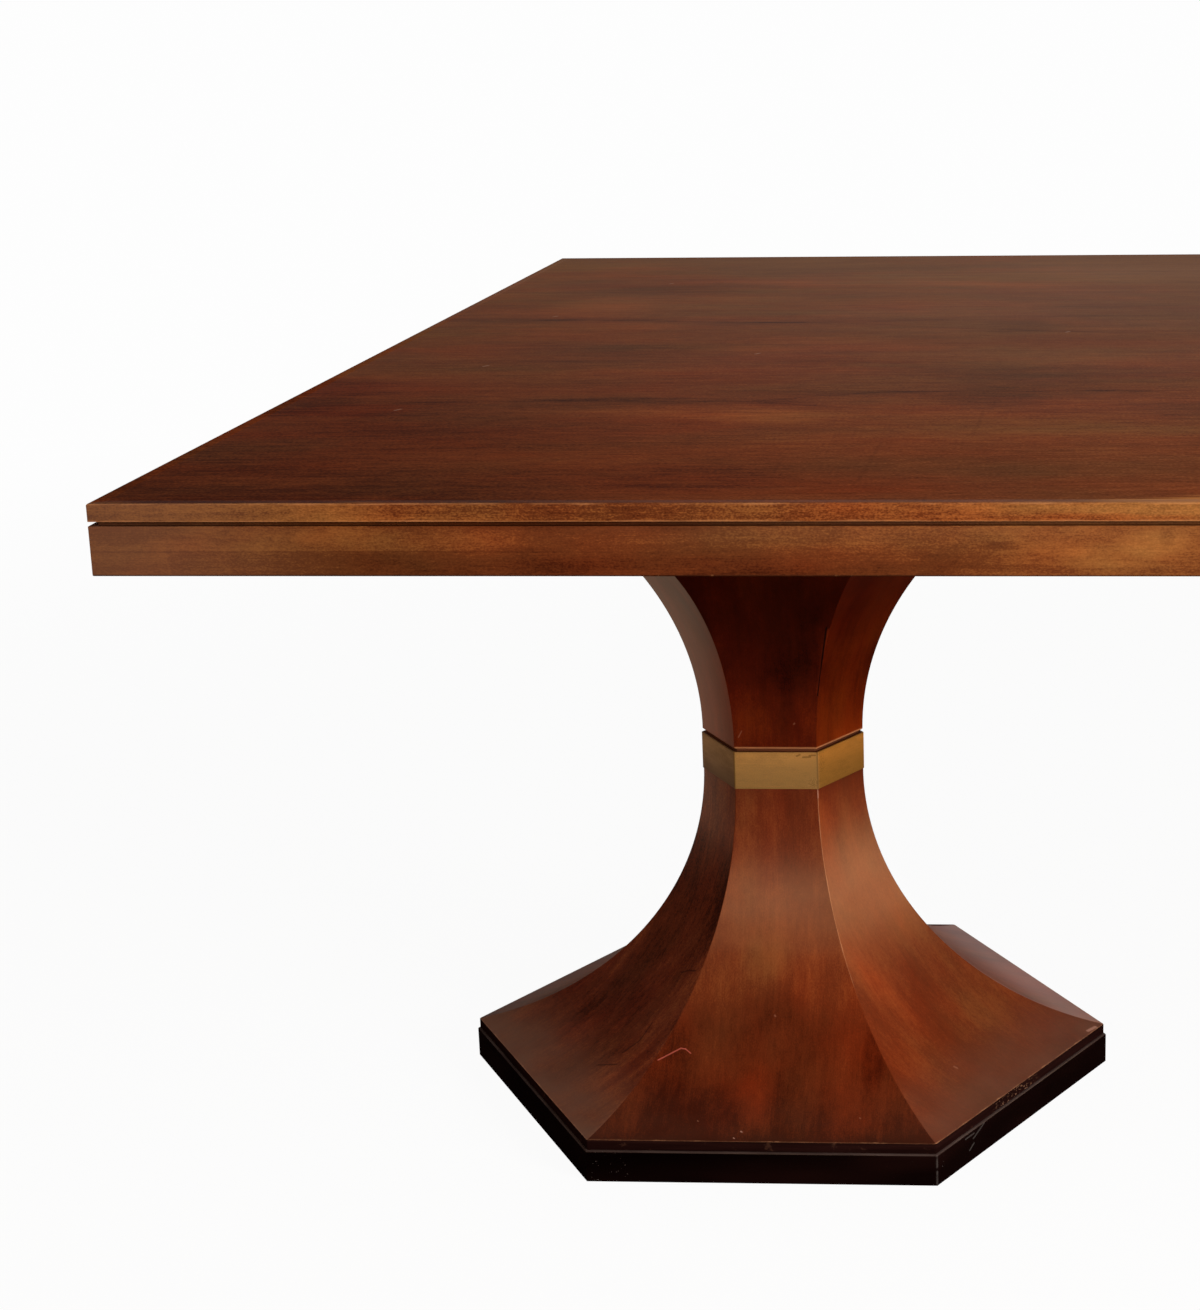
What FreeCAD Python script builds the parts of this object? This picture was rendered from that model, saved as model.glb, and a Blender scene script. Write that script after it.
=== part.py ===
import FreeCAD, Part
import os
import Sketcher

# A rectangular veneered table top on two waisted hexagonal pedestals.
# Millimetres, +X along the length, -Y to the front, +Z up, origin on the floor under the middle.

SIZES = [
    # Overall
    ("table_length", 2400, "end to end"),
    ("table_depth", 1650, "front to back"),
    ("table_height", 750, "floor to top face"),
    ("pedestal_end_distance", 360, "end of the top to a pedestal's middle"),
    # Upper board
    ("core_thickness", 10, "core board of the top"),
    ("veneer_thickness", 1, "face leaves and backing veneer"),
    ("lipping_width", 10, "solid edge round the core"),
    ("lipping_arris", 1.5, "round on the lipping's top edge"),
    # Apron
    ("groove_height", 3, "shadow groove under the board"),
    ("groove_depth", 5, "shadow groove, in from the face"),
    ("apron_face", 33, "face of the lower band"),
    ("apron_width", 45, "front to back of a rail"),
    ("apron_arris", 1, "round on the rail's bottom edge"),
    # Battens and bearers
    ("batten_width", 70, "cross batten, along the length"),
    ("batten_end_distance", 200, "end of the top to the middle of the outer batten"),
    ("bearer_height", 47.5, "long bearer"),
    ("bearer_width", 60, "long bearer"),
    ("bearer_place", 150, "bearers, from the middle line"),
    ("bearer_end_distance", 120, "end of the top to a bearer's end"),
    ("bearer_slope_length", 90, "sloped end of a bearer"),
    ("bearer_nose_height", 20, "left at a bearer's end"),
    # Bells
    ("foot_across_flats", 563, "bell at its wide end"),
    ("stave_thickness", 16, "curved stave"),
    ("neck_chamfer", 1, "worn lower arris of the upper bell"),
    # Collar and the ring above it
    ("collar_across_flats", 142, "outside of the brass"),
    ("collar_height", 37.5, "brass collar"),
    ("collar_thickness", 1.5, "brass sheet"),
    ("collar_proud", 1, "collar beyond the bells' necks"),
    ("collar_fold", 2.5, "outside radius of a fold"),
    ("ring_height", 3, "dark ring above the collar"),
    ("ring_depth", 3.5, "dark ring, in from the bell's neck"),
    # Boards and plinth
    ("head_thickness", 22, "board on the upper bell"),
    ("base_flange", 10, "edge of the base board that shows"),
    ("base_step", 12, "part of the base board inside the plinth"),
    ("plinth_height", 31, "black plinth"),
    ("plinth_width", 22, "plinth rail"),
    ("plinth_proud", 2, "plinth beyond the base board"),
    ("plinth_arris", 2, "round on the plinth's top edge"),
    # Tie rods
    ("rod_diameter", 12, "tie rod"),
    ("rod_clearance", 1, "round the rod in wood"),
    ("thread_clearance", 0.15, "round the rod in a nut"),
    ("rod_projection", 2, "rod beyond its nut"),
    ("nut_across_flats", 19, "nut"),
    ("nut_height", 8, "nut"),
    ("washer_diameter", 36, "washer"),
    ("washer_thickness", 3, "washer"),
    # Bearer screws
    ("screw_diameter", 6, "shank"),
    ("screw_length", 45, "under the head"),
    ("screw_point", 6, "pointed end"),
    ("screw_head_diameter", 12, "head"),
    ("screw_head_height", 5, "head"),
    ("screw_seat_depth", 20, "counterbore in the bearer"),
    ("screw_clearance", 0.25, "round the screw in wood"),
    ("screw_place", 80, "screws, from the pedestal's centre"),
    # Making
    ("cut_overrun", 10, "how far a cutter runs past what it cuts"),
]

doc = FreeCAD.newDocument("table")
sheet = doc.addObject("Spreadsheet::Sheet", "sizes")
for row, (alias, number, note) in enumerate(SIZES, start=1):
    sheet.set(f"A{row}", alias)
    sheet.set(f"B{row}", str(number))
    sheet.set(f"C{row}", note)
    sheet.setAlias(f"B{row}", alias)
doc.recompute()

# Levels and radii that several pieces share, as expressions of the sheet's sizes.
TOP_FACE = "sizes.table_height"
CORE_TOP = f"({TOP_FACE} - sizes.veneer_thickness)"
CORE_BOTTOM = f"({CORE_TOP} - sizes.core_thickness)"
BOARD_BOTTOM = f"({CORE_BOTTOM} - sizes.veneer_thickness)"
APRON_HEIGHT = "(sizes.groove_height + sizes.apron_face)"
APRON_BOTTOM = f"({BOARD_BOTTOM} - {APRON_HEIGHT})"
BEARER_BOTTOM = f"({APRON_BOTTOM} - sizes.bearer_height)"
HEAD_BOTTOM = f"({BEARER_BOTTOM} - sizes.head_thickness)"
BASE_TOP = "(sizes.plinth_height + sizes.base_flange)"
WAIST_HEIGHT = "(sizes.collar_height + sizes.ring_height)"
BELL_HEIGHT = f"(({HEAD_BOTTOM} - {BASE_TOP} - {WAIST_HEIGHT}) / 2)"
COLLAR_BOTTOM = f"({BASE_TOP} + {BELL_HEIGHT})"

FOOT_REACH = "(sizes.foot_across_flats / 2)"
NECK_REACH = "(sizes.collar_across_flats / 2 - sizes.collar_proud)"
POST_REACH = f"({NECK_REACH} - sizes.stave_thickness)"
PLINTH_REACH = f"({FOOT_REACH} + sizes.plinth_proud)"
PEDESTAL_PLACE = "(sizes.table_length / 2 - sizes.pedestal_end_distance)"

SIDES = {"left": -1, "right": 1}
FRONT_TURN = -90
BATTENS = 4
HEXAGON = 6
FULL_TURN = 360
HEXAGON_TURN = FULL_TURN / HEXAGON
MITRE_OF_HEXAGON = HEXAGON_TURN / 2
MITRE_OF_RECTANGLE = 45
TOLERANCE = Part.Precision.confusion()

nodes = []


def hexagon_face_turn(number):
    """The turn that faces a side of a hexagon, the first to the front."""
    return HEXAGON_TURN * number + FRONT_TURN


def size(expression):
    """The value in millimetres of an expression of the sheet's sizes."""
    return float(sheet.evalExpression(expression))


def keep(obj, name):
    """Name a finished piece: its label is the name of its file."""
    obj.Label = name
    nodes.append(obj)
    return obj


def place(obj, across="0", along="0", up="0", turn=0, upside_down=False):
    """Put a piece at a place of the sheet's sizes, turned about the vertical."""
    rotation = FreeCAD.Rotation(FreeCAD.Vector(0, 0, 1), turn)
    if upside_down:
        rotation = rotation * FreeCAD.Rotation(FreeCAD.Vector(1, 0, 0), FULL_TURN / 2)
    obj.Placement = FreeCAD.Placement(FreeCAD.Vector(), rotation)
    obj.setExpression("Placement.Base.x", across)
    obj.setExpression("Placement.Base.y", along)
    obj.setExpression("Placement.Base.z", up)
    return obj


def primitive(kind, **properties):
    """A Part primitive whose properties are bound to the sheet."""
    obj = doc.addObject(f"Part::{kind}", kind)
    for name, expression in properties.items():
        obj.setExpression(name, expression)
    return obj


def box(length, width, height):
    return primitive("Box", Length=length, Width=width, Height=height)


def cylinder(diameter, height):
    return primitive("Cylinder", Radius=f"({diameter}) / 2", Height=height)


def hexagonal_prism(reach, height):
    """A prism with two corners on X; reach is from its axis to a flat."""
    prism = primitive("Prism", Circumradius=f"{reach} / cos({MITRE_OF_HEXAGON})", Height=height)
    prism.Polygon = HEXAGON
    return prism


def cut(base, tool):
    result = doc.addObject("Part::Cut", "Cut")
    result.Base = base
    result.Tool = tool
    return result


def fuse(base, tool):
    result = doc.addObject("Part::Fuse", "Fuse")
    result.Base = base
    result.Tool = tool
    return result


def group(members):
    """Separate solids kept together in one piece of the list."""
    result = doc.addObject("Part::Compound", "Compound")
    result.Links = members
    return result


def sketch_in(body, role):
    """An empty sketch on one of a body's own origin planes."""
    sketch = body.newObject("Sketcher::SketchObject", "Sketch")
    plane = [feature for feature in body.Origin.OriginFeatures if feature.Role == role][0]
    sketch.AttachmentSupport = [(plane, "")]
    sketch.MapMode = "FlatFace"
    return sketch


def draw(sketch, corners, arcs=None):
    """Close an outline through corners; arcs gives the centre and radius of each round edge."""
    arcs = arcs or {}
    first = sketch.GeometryCount
    spots = [FreeCAD.Vector(size(across), size(up), 0) for across, up in corners]
    ends = []
    for number, start in enumerate(spots):
        finish = spots[(number + 1) % len(spots)]
        if number not in arcs:
            sketch.addGeometry(Part.LineSegment(start, finish), False)
            ends.append((1, 2))
            continue
        centre = FreeCAD.Vector(size(arcs[number][0]), size(arcs[number][1]), 0)
        circle = Part.Circle(centre, FreeCAD.Vector(0, 0, 1), size(arcs[number][2]))
        anticlockwise = (start - centre).cross(finish - centre).z > 0
        low, high = (start, finish) if anticlockwise else (finish, start)
        arc = Part.ArcOfCircle(circle, circle.parameter(low), circle.parameter(high))
        sketch.addGeometry(arc, False)
        ends.append((1, 2) if anticlockwise else (2, 1))
    for number, (across, up) in enumerate(corners):
        here = first + number
        before = first + (number - 1) % len(corners)
        joint = (before, ends[number - 1][1], here, ends[number][0])
        sketch.addConstraint(Sketcher.Constraint("Coincident", *joint))
        bind_spot(sketch, here, ends[number][0], across, up)
        if number in arcs:
            radius = Sketcher.Constraint("Radius", here, size(arcs[number][2]))
            bind(sketch, radius, arcs[number][2])


def bind(sketch, constraint, expression):
    """Add a constraint whose value follows an expression."""
    index = sketch.addConstraint(constraint)
    sketch.setExpression(f"Constraints[{index}]", expression)


def bind_spot(sketch, edge, end, across, up):
    """Hold one end of an edge at a place of the sheet's sizes."""
    bind(sketch, Sketcher.Constraint("DistanceX", -1, 1, edge, end, size(across)), across)
    bind(sketch, Sketcher.Constraint("DistanceY", -1, 1, edge, end, size(up)), up)


def pad(body, sketch, length):
    """Pad a sketch by a length, half of it to each side."""
    feature = body.newObject("PartDesign::Pad", "Pad")
    feature.Profile = sketch
    feature.SideType = "Symmetric"
    feature.setExpression("Length", length)
    return feature


def new_body():
    return doc.addObject("PartDesign::Body", "Body")


def mitred_piece(section, arcs, reach, depth, half_length, mitre):
    """A straight piece of a frame, its section in XZ, its outer face at x = reach, mitred at both ends."""
    body = new_body()
    profile = sketch_in(body, "XZ_Plane")
    draw(profile, section, arcs)
    pad(body, profile, f"2 * {half_length}")
    outside = f"({reach} + sizes.cut_overrun)"
    inside = f"({reach} - {depth} - sizes.cut_overrun)"
    slope = f"tan({mitre})"
    waste = sketch_in(body, "XY_Plane")
    for end in ("1", "-1"):
        draw(waste, [
            (outside, f"{end} * ({half_length} + sizes.cut_overrun * {slope})"),
            (inside, f"{end} * ({half_length} - ({depth} + sizes.cut_overrun) * {slope})"),
            (inside, f"{end} * ({half_length} + sizes.cut_overrun)"),
            (outside, f"{end} * ({half_length} + sizes.cut_overrun * (1 + {slope}))"),
        ])
    pocket = body.newObject("PartDesign::Pocket", "Pocket")
    pocket.Profile = waste
    pocket.SideType = "Symmetric"
    pocket.Type = "ThroughAll"
    return body


def place_round_table(body, face, up):
    """Turn a mitred piece to the front, right, back or left of the table."""
    turns = {"front": FRONT_TURN, "right": 0, "back": -FRONT_TURN, "left": 2 * FRONT_TURN}
    return place(body, up=up, turn=turns[face])


def frame_reach(face):
    """From the table's centre to one of its edges, and half that edge's length."""
    half_length = "(sizes.table_length / 2)"
    half_depth = "(sizes.table_depth / 2)"
    if face in ("left", "right"):
        return half_length, half_depth
    return half_depth, half_length


# Upper board

def make_core():
    length = "sizes.table_length - 2 * sizes.lipping_width"
    width = "sizes.table_depth - 2 * sizes.lipping_width"
    core = box(length, width, "sizes.core_thickness")
    place(core, f"-({length}) / 2", f"-({width}) / 2", CORE_BOTTOM)
    keep(core, "top_core")
    backing = box(length, width, "sizes.veneer_thickness")
    place(backing, f"-({length}) / 2", f"-({width}) / 2", BOARD_BOTTOM)
    keep(backing, "backing_veneer")


def make_face_veneer():
    names = ("front", "middle", "back")
    length = "sizes.table_length - 2 * sizes.lipping_width"
    leaf = f"((sizes.table_depth - 2 * sizes.lipping_width) / {len(names)})"
    for number, name in enumerate(names):
        veneer = box(length, leaf, "sizes.veneer_thickness")
        front_edge = f"{leaf} * ({number} - {len(names)} / 2)"
        place(veneer, f"-({length}) / 2", front_edge, CORE_TOP)
        keep(veneer, f"veneer_leaf_{name}")


def make_lipping(face):
    reach, half_length = frame_reach(face)
    thickness = "(sizes.core_thickness + 2 * sizes.veneer_thickness)"
    shoulder = f"{thickness} - sizes.lipping_arris"
    section = [
        (f"{reach} - sizes.lipping_width", "0"),
        (reach, "0"),
        (reach, shoulder),
        (f"{reach} - sizes.lipping_arris", thickness),
        (f"{reach} - sizes.lipping_width", thickness),
    ]
    arcs = {2: (f"{reach} - sizes.lipping_arris", shoulder, "sizes.lipping_arris")}
    body = mitred_piece(section, arcs, reach, "sizes.lipping_width", half_length, MITRE_OF_RECTANGLE)
    place_round_table(body, face, BOARD_BOTTOM)
    keep(body, f"lipping_{face}")


# Frame under the board

def make_apron(face):
    reach, half_length = frame_reach(face)
    rebate = f"{reach} - sizes.groove_depth"
    arris = "sizes.apron_arris"
    section = [
        (f"{reach} - sizes.apron_width", "0"),
        (f"{reach} - {arris}", "0"),
        (reach, arris),
        (reach, "sizes.apron_face"),
        (rebate, "sizes.apron_face"),
        (rebate, APRON_HEIGHT),
        (f"{reach} - sizes.apron_width", APRON_HEIGHT),
    ]
    arcs = {1: (f"{reach} - {arris}", arris, arris)}
    body = mitred_piece(section, arcs, reach, "sizes.apron_width", half_length, MITRE_OF_RECTANGLE)
    place_round_table(body, face, APRON_BOTTOM)
    keep(body, f"apron_{face}")


def make_battens():
    """Cross battens at even steps between the two outer ones."""
    span = "(sizes.table_depth - 2 * sizes.apron_width)"
    outer = "(sizes.table_length / 2 - sizes.batten_end_distance)"
    for number in range(BATTENS):
        step_share = 2 * number / (BATTENS - 1) - 1
        batten = box("sizes.batten_width", span, APRON_HEIGHT)
        place(batten, f"{outer} * {step_share} - sizes.batten_width / 2", f"-{span} / 2", APRON_BOTTOM)
        keep(batten, f"batten_{number + 1}")


def screw_places():
    """Where the bearer screws stand along the length."""
    return [f"({side} * {PEDESTAL_PLACE} + {hand} * sizes.screw_place)"
            for side in SIDES.values() for hand in (-1, 1)]


def make_bearer(name, hand):
    body = new_body()
    profile = sketch_in(body, "XZ_Plane")
    half_length = "(sizes.table_length / 2 - sizes.bearer_end_distance)"
    heel = f"({half_length} - sizes.bearer_slope_length)"
    nose = "(sizes.bearer_height - sizes.bearer_nose_height)"
    draw(profile, [
        (f"-{half_length}", "sizes.bearer_height"),
        (f"-{half_length}", nose),
        (f"-{heel}", "0"),
        (heel, "0"),
        (half_length, nose),
        (half_length, "sizes.bearer_height"),
    ])
    pad(body, profile, "sizes.bearer_width")
    middle = f"({hand} * sizes.bearer_place)"
    place(body, along=middle, up=BEARER_BOTTOM)
    holes = []
    for across in screw_places():
        through = cylinder("(sizes.screw_diameter + 2 * sizes.screw_clearance)",
                           "sizes.bearer_height + 2 * sizes.cut_overrun")
        place(through, across, middle, f"{BEARER_BOTTOM} - sizes.cut_overrun")
        seat = cylinder("(sizes.screw_head_diameter + 2 * sizes.screw_clearance)",
                        "sizes.screw_seat_depth + sizes.cut_overrun")
        place(seat, across, middle, f"{APRON_BOTTOM} - sizes.screw_seat_depth")
        holes.append(fuse(through, seat))
    keep(cut(body, group(holes)), name)


def make_bearer_screws():
    screws = []
    seat = f"({APRON_BOTTOM} - sizes.screw_seat_depth)"
    shank_length = "(sizes.screw_length - sizes.screw_point)"
    for hand in (-1, 1):
        along = f"{hand} * sizes.bearer_place"
        for across in screw_places():
            head = cylinder("sizes.screw_head_diameter", "sizes.screw_head_height")
            place(head, across, along, seat)
            shank = cylinder("sizes.screw_diameter", shank_length)
            place(shank, across, along, f"{seat} - {shank_length}")
            point = primitive("Cone", Radius1="0", Radius2="sizes.screw_diameter / 2",
                              Height="sizes.screw_point")
            place(point, across, along, f"{seat} - sizes.screw_length")
            screws.append(fuse(fuse(head, shank), point))
    keep(group(screws), "bearer_screws")


# Pedestals

def make_stave(name, centre, number, upside_down):
    """One curved stave: an arc in the radial plane that leaves the neck upright."""
    spread = f"({FOOT_REACH} - {NECK_REACH})"
    radius = f"(({spread} ^ 2 + {BELL_HEIGHT} ^ 2) / (2 * {spread}))"
    inner_radius = f"({radius} + sizes.stave_thickness)"
    centre_reach = f"({NECK_REACH} + {radius})"
    inner_foot = f"({centre_reach} - sqrt({inner_radius} ^ 2 - {BELL_HEIGHT} ^ 2))"
    section = [(inner_foot, "0"), (FOOT_REACH, "0")]
    if upside_down:
        shoulder = f"({BELL_HEIGHT} - sizes.neck_chamfer)"
        worn = f"{centre_reach} - sqrt({radius} ^ 2 - sizes.neck_chamfer ^ 2)"
        section += [(worn, shoulder), (f"{NECK_REACH} - sizes.neck_chamfer", BELL_HEIGHT)]
    else:
        section += [(NECK_REACH, BELL_HEIGHT)]
    section += [(POST_REACH, BELL_HEIGHT)]
    arcs = {1: (centre_reach, BELL_HEIGHT, radius),
            len(section) - 1: (centre_reach, BELL_HEIGHT, inner_radius)}
    half_length = f"({FOOT_REACH} * tan({MITRE_OF_HEXAGON}))"
    depth = f"({FOOT_REACH} - {POST_REACH})"
    body = mitred_piece(section, arcs, FOOT_REACH, depth, half_length, MITRE_OF_HEXAGON)
    level = HEAD_BOTTOM if upside_down else BASE_TOP
    place(body, centre, up=level, turn=hexagon_face_turn(number), upside_down=upside_down)
    keep(body, name)


def make_post(side, centre):
    post = hexagonal_prism(POST_REACH, f"{HEAD_BOTTOM} - {BASE_TOP}")
    place(post, centre, up=BASE_TOP)
    keep(cut(post, rod_hole(centre)), f"{side}_post")


def rod_hole(centre):
    """A cutter for the tie rod through everything from the base board to the head board."""
    hole = cylinder("(sizes.rod_diameter + 2 * sizes.rod_clearance)", "sizes.table_height")
    return place(hole, centre)


def make_collar_spacer(side, centre):
    """The block inside the collar, stepped in above it as the dark ring."""
    wide = hexagonal_prism("(sizes.collar_across_flats / 2 - sizes.collar_thickness)",
                           "sizes.collar_height")
    place(wide, centre, up=COLLAR_BOTTOM)
    narrow = hexagonal_prism(f"({NECK_REACH} - sizes.ring_depth)", WAIST_HEIGHT)
    place(narrow, centre, up=COLLAR_BOTTOM)
    opening = hexagonal_prism(POST_REACH, "sizes.table_height")
    place(opening, centre)
    keep(cut(fuse(wide, narrow), opening), f"{side}_collar_spacer")


def hexagon_corners(across_flats):
    corner_reach = f"({across_flats}) / sqrt(3)"
    return [(f"{corner_reach} * cos({HEXAGON_TURN * number})",
             f"{corner_reach} * sin({HEXAGON_TURN * number})") for number in range(HEXAGON)]


def upright_edges(shape, beyond):
    """Names of the vertical edges that stand farther from the axis than a given reach."""
    names = []
    for number, edge in enumerate(shape.Edges, start=1):
        foot, head = edge.Vertexes[0].Point, edge.Vertexes[-1].Point
        upright = FreeCAD.Vector(foot.x, foot.y).isEqual(FreeCAD.Vector(head.x, head.y), TOLERANCE)
        if upright and FreeCAD.Vector(foot.x, foot.y).Length > beyond:
            names.append(f"Edge{number}")
    return names


def make_collar(side, centre):
    """Sheet brass folded to a hexagon, its outer corners round."""
    body = new_body()
    outline = sketch_in(body, "XY_Plane")
    draw(outline, hexagon_corners("sizes.collar_across_flats"))
    draw(outline, hexagon_corners("sizes.collar_across_flats - 2 * sizes.collar_thickness"))
    band = pad(body, outline, "sizes.collar_height")
    doc.recompute()
    middle_of_sheet = size("(sizes.collar_across_flats - sizes.collar_thickness) / sqrt(3)")
    fold = body.newObject("PartDesign::Fillet", "Fillet")
    fold.Base = (band, upright_edges(band.Shape, middle_of_sheet))
    fold.setExpression("Radius", "sizes.collar_fold")
    place(body, centre, up=f"{COLLAR_BOTTOM} + sizes.collar_height / 2")
    keep(body, f"{side}_collar")


def make_head_board(side, centre):
    board = hexagonal_prism(FOOT_REACH, "sizes.head_thickness")
    place(board, centre, up=HEAD_BOTTOM)
    holes = [rod_hole(centre)]
    depth = "(sizes.screw_length - (sizes.bearer_height - sizes.screw_seat_depth))"
    for hand_across in (-1, 1):
        for hand_along in (-1, 1):
            pilot = cylinder("(sizes.screw_diameter + 2 * sizes.screw_clearance)",
                             f"{depth} + sizes.cut_overrun")
            place(pilot, f"{centre} + {hand_across} * sizes.screw_place",
                  f"{hand_along} * sizes.bearer_place", f"{BEARER_BOTTOM} - {depth}")
            holes.append(pilot)
    keep(cut(board, group(holes)), f"{side}_head_board")


def make_base_board(side, centre):
    flange = hexagonal_prism(FOOT_REACH, "sizes.base_flange")
    place(flange, centre, up="sizes.plinth_height")
    step = hexagonal_prism(f"({PLINTH_REACH} - sizes.plinth_width)", "sizes.base_step")
    place(step, centre, up="sizes.plinth_height - sizes.base_step")
    keep(cut(fuse(flange, step), rod_hole(centre)), f"{side}_base_board")


def make_plinth(side, centre):
    """Six mitred rails, their outer top edge round."""
    shoulder = "sizes.plinth_height - sizes.plinth_arris"
    section = [
        (f"{PLINTH_REACH} - sizes.plinth_width", "0"),
        (PLINTH_REACH, "0"),
        (PLINTH_REACH, shoulder),
        (f"{PLINTH_REACH} - sizes.plinth_arris", "sizes.plinth_height"),
        (f"{PLINTH_REACH} - sizes.plinth_width", "sizes.plinth_height"),
    ]
    arcs = {2: (f"{PLINTH_REACH} - sizes.plinth_arris", shoulder, "sizes.plinth_arris")}
    half_length = f"({PLINTH_REACH} * tan({MITRE_OF_HEXAGON}))"
    rails = []
    for number in range(HEXAGON):
        rail = mitred_piece(section, arcs, PLINTH_REACH, "sizes.plinth_width", half_length,
                            MITRE_OF_HEXAGON)
        rails.append(place(rail, centre, turn=hexagon_face_turn(number)))
    keep(group(rails), f"{side}_plinth")


LOW_SEAT = "(sizes.plinth_height - sizes.base_step)"
ROD_PAST_SEAT = "(sizes.washer_thickness + sizes.nut_height + sizes.rod_projection)"


def make_tie_rod(side, centre):
    rod = cylinder("sizes.rod_diameter", f"{BEARER_BOTTOM} - {LOW_SEAT} + 2 * {ROD_PAST_SEAT}")
    place(rod, centre, up=f"{LOW_SEAT} - {ROD_PAST_SEAT}")
    keep(rod, f"{side}_tie_rod")


def make_rod_fixings():
    """A washer and a nut at each end of both tie rods."""
    bore = "(sizes.rod_diameter + 2 * sizes.thread_clearance)"
    ends = [(f"{LOW_SEAT} - sizes.washer_thickness",
             f"{LOW_SEAT} - sizes.washer_thickness - sizes.nut_height"),
            (BEARER_BOTTOM, f"{BEARER_BOTTOM} + sizes.washer_thickness")]
    washers = []
    nuts = []
    for sign in SIDES.values():
        centre = f"{sign} * {PEDESTAL_PLACE}"
        for washer_level, nut_level in ends:
            disc = cylinder("sizes.washer_diameter", "sizes.washer_thickness")
            place(disc, centre, up=washer_level)
            washer_bore = place(cylinder(bore, "sizes.table_height"), centre)
            washers.append(cut(disc, washer_bore))
            block = hexagonal_prism("(sizes.nut_across_flats / 2)", "sizes.nut_height")
            place(block, centre, up=nut_level)
            nut_bore = place(cylinder(bore, "sizes.table_height"), centre)
            nuts.append(cut(block, nut_bore))
    keep(group(washers), "tie_rod_washers")
    keep(group(nuts), "tie_rod_nuts")


def make_pedestal(side, sign):
    centre = f"({sign} * {PEDESTAL_PLACE})"
    make_plinth(side, centre)
    make_base_board(side, centre)
    for number in range(HEXAGON):
        make_stave(f"{side}_lower_stave_{number + 1}", centre, number, False)
    make_collar(side, centre)
    make_collar_spacer(side, centre)
    make_post(side, centre)
    for number in range(HEXAGON):
        make_stave(f"{side}_upper_stave_{number + 1}", centre, number, True)
    make_head_board(side, centre)
    make_tie_rod(side, centre)


def check_and_write():
    """Stop on any failed object, then write each piece to its own file."""
    for obj in doc.Objects:
        if "Invalid" in obj.State or "Error" in obj.State:
            raise RuntimeError(f"{obj.Label} failed: {obj.State}")
    for obj in nodes:
        if obj.Shape.isNull() or not obj.Shape.isValid():
            raise RuntimeError(f"{obj.Label} has no valid shape")
    os.makedirs("parts", exist_ok=True)
    for obj in nodes:
        obj.Shape.exportStep(f"parts/{obj.Label}.step")


make_core()
make_face_veneer()
for table_face in ("front", "back", "left", "right"):
    make_lipping(table_face)
    make_apron(table_face)
make_battens()
make_bearer("bearer_front", -1)
make_bearer("bearer_back", 1)
make_bearer_screws()
for pedestal_side, pedestal_sign in SIDES.items():
    make_pedestal(pedestal_side, pedestal_sign)
make_rod_fixings()
doc.recompute()
check_and_write()
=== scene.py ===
"""Finishes the pieces of a veneered table on two hexagonal pedestals, in a plain studio."""

import math
from functools import partial

import bpy
from mathutils import Matrix, Vector


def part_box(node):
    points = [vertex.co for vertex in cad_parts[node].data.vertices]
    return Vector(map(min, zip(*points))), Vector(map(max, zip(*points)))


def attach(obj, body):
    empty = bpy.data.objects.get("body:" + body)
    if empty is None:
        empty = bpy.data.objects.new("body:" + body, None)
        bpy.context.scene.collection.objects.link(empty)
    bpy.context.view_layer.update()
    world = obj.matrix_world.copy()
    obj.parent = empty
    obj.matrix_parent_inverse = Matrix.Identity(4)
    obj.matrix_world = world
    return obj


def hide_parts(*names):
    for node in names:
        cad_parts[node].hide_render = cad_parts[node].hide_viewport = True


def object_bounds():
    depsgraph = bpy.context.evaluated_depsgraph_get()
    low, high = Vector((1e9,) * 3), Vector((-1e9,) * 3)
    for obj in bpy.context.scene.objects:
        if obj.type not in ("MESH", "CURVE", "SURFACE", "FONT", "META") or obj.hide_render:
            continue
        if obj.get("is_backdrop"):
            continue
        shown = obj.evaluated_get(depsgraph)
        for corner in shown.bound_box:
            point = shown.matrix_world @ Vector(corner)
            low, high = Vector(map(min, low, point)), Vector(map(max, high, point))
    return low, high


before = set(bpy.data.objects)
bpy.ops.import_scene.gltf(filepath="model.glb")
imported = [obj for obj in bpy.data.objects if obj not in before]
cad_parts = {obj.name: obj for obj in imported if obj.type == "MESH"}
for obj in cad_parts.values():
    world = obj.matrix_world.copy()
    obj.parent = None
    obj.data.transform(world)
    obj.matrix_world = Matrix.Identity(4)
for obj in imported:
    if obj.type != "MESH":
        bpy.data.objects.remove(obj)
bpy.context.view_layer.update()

bl_info = {
    "name": "Pedestal table finishes",
    "version": (1, 0, 0),
    "blender": (4, 5, 0),
    "location": "View3D > Sidebar > Table",
    "description": "Veneer, lacquer and brass for a table on two waisted pedestals, with a studio",
    "category": "Object",
}

TOP_VENEER = "top_veneer"
MM = 0.001
SIDES = ("left", "right")
STAVES = range(1, 7)
HEXAGON_TURN = math.radians(60)
FRONT = math.radians(-90)
HALF_FACET = math.tan(HEXAGON_TURN / 2)

# The bells: how far the collar stands out of their necks, how the upper neck's arris is cut, where the
# front stave's mitres lie, and in how many steps its ridges and its curve are made
COLLAR_PROUD = 1 * MM
NECK_CHAMFER = 1 * MM
NECK_LIFT = 0.002 * MM
MITRE_TURNS = (math.radians(30), math.radians(150))
RIDGE_SEGMENTS = 8
BELL_STEPS = 44

# Softened edges: how wide the rounding is on each kind of piece, in millimetres, in how many steps it is
# made, which edges count as sharp, which are shaded smooth, and what is cleaned away before
ROUNDINGS = {"lipping": 0.4, "apron": 0.5, "plinth": 0.8, "dark_edge": 0.6, "brass": 0.2}
ROUNDING_SEGMENTS = 3
SHARP_ANGLE = math.radians(35)
SMOOTH_ANGLE = math.radians(34)
FLAT_ANGLE = math.radians(0.3)
MERGE_DISTANCE = 0.002 * MM

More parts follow.
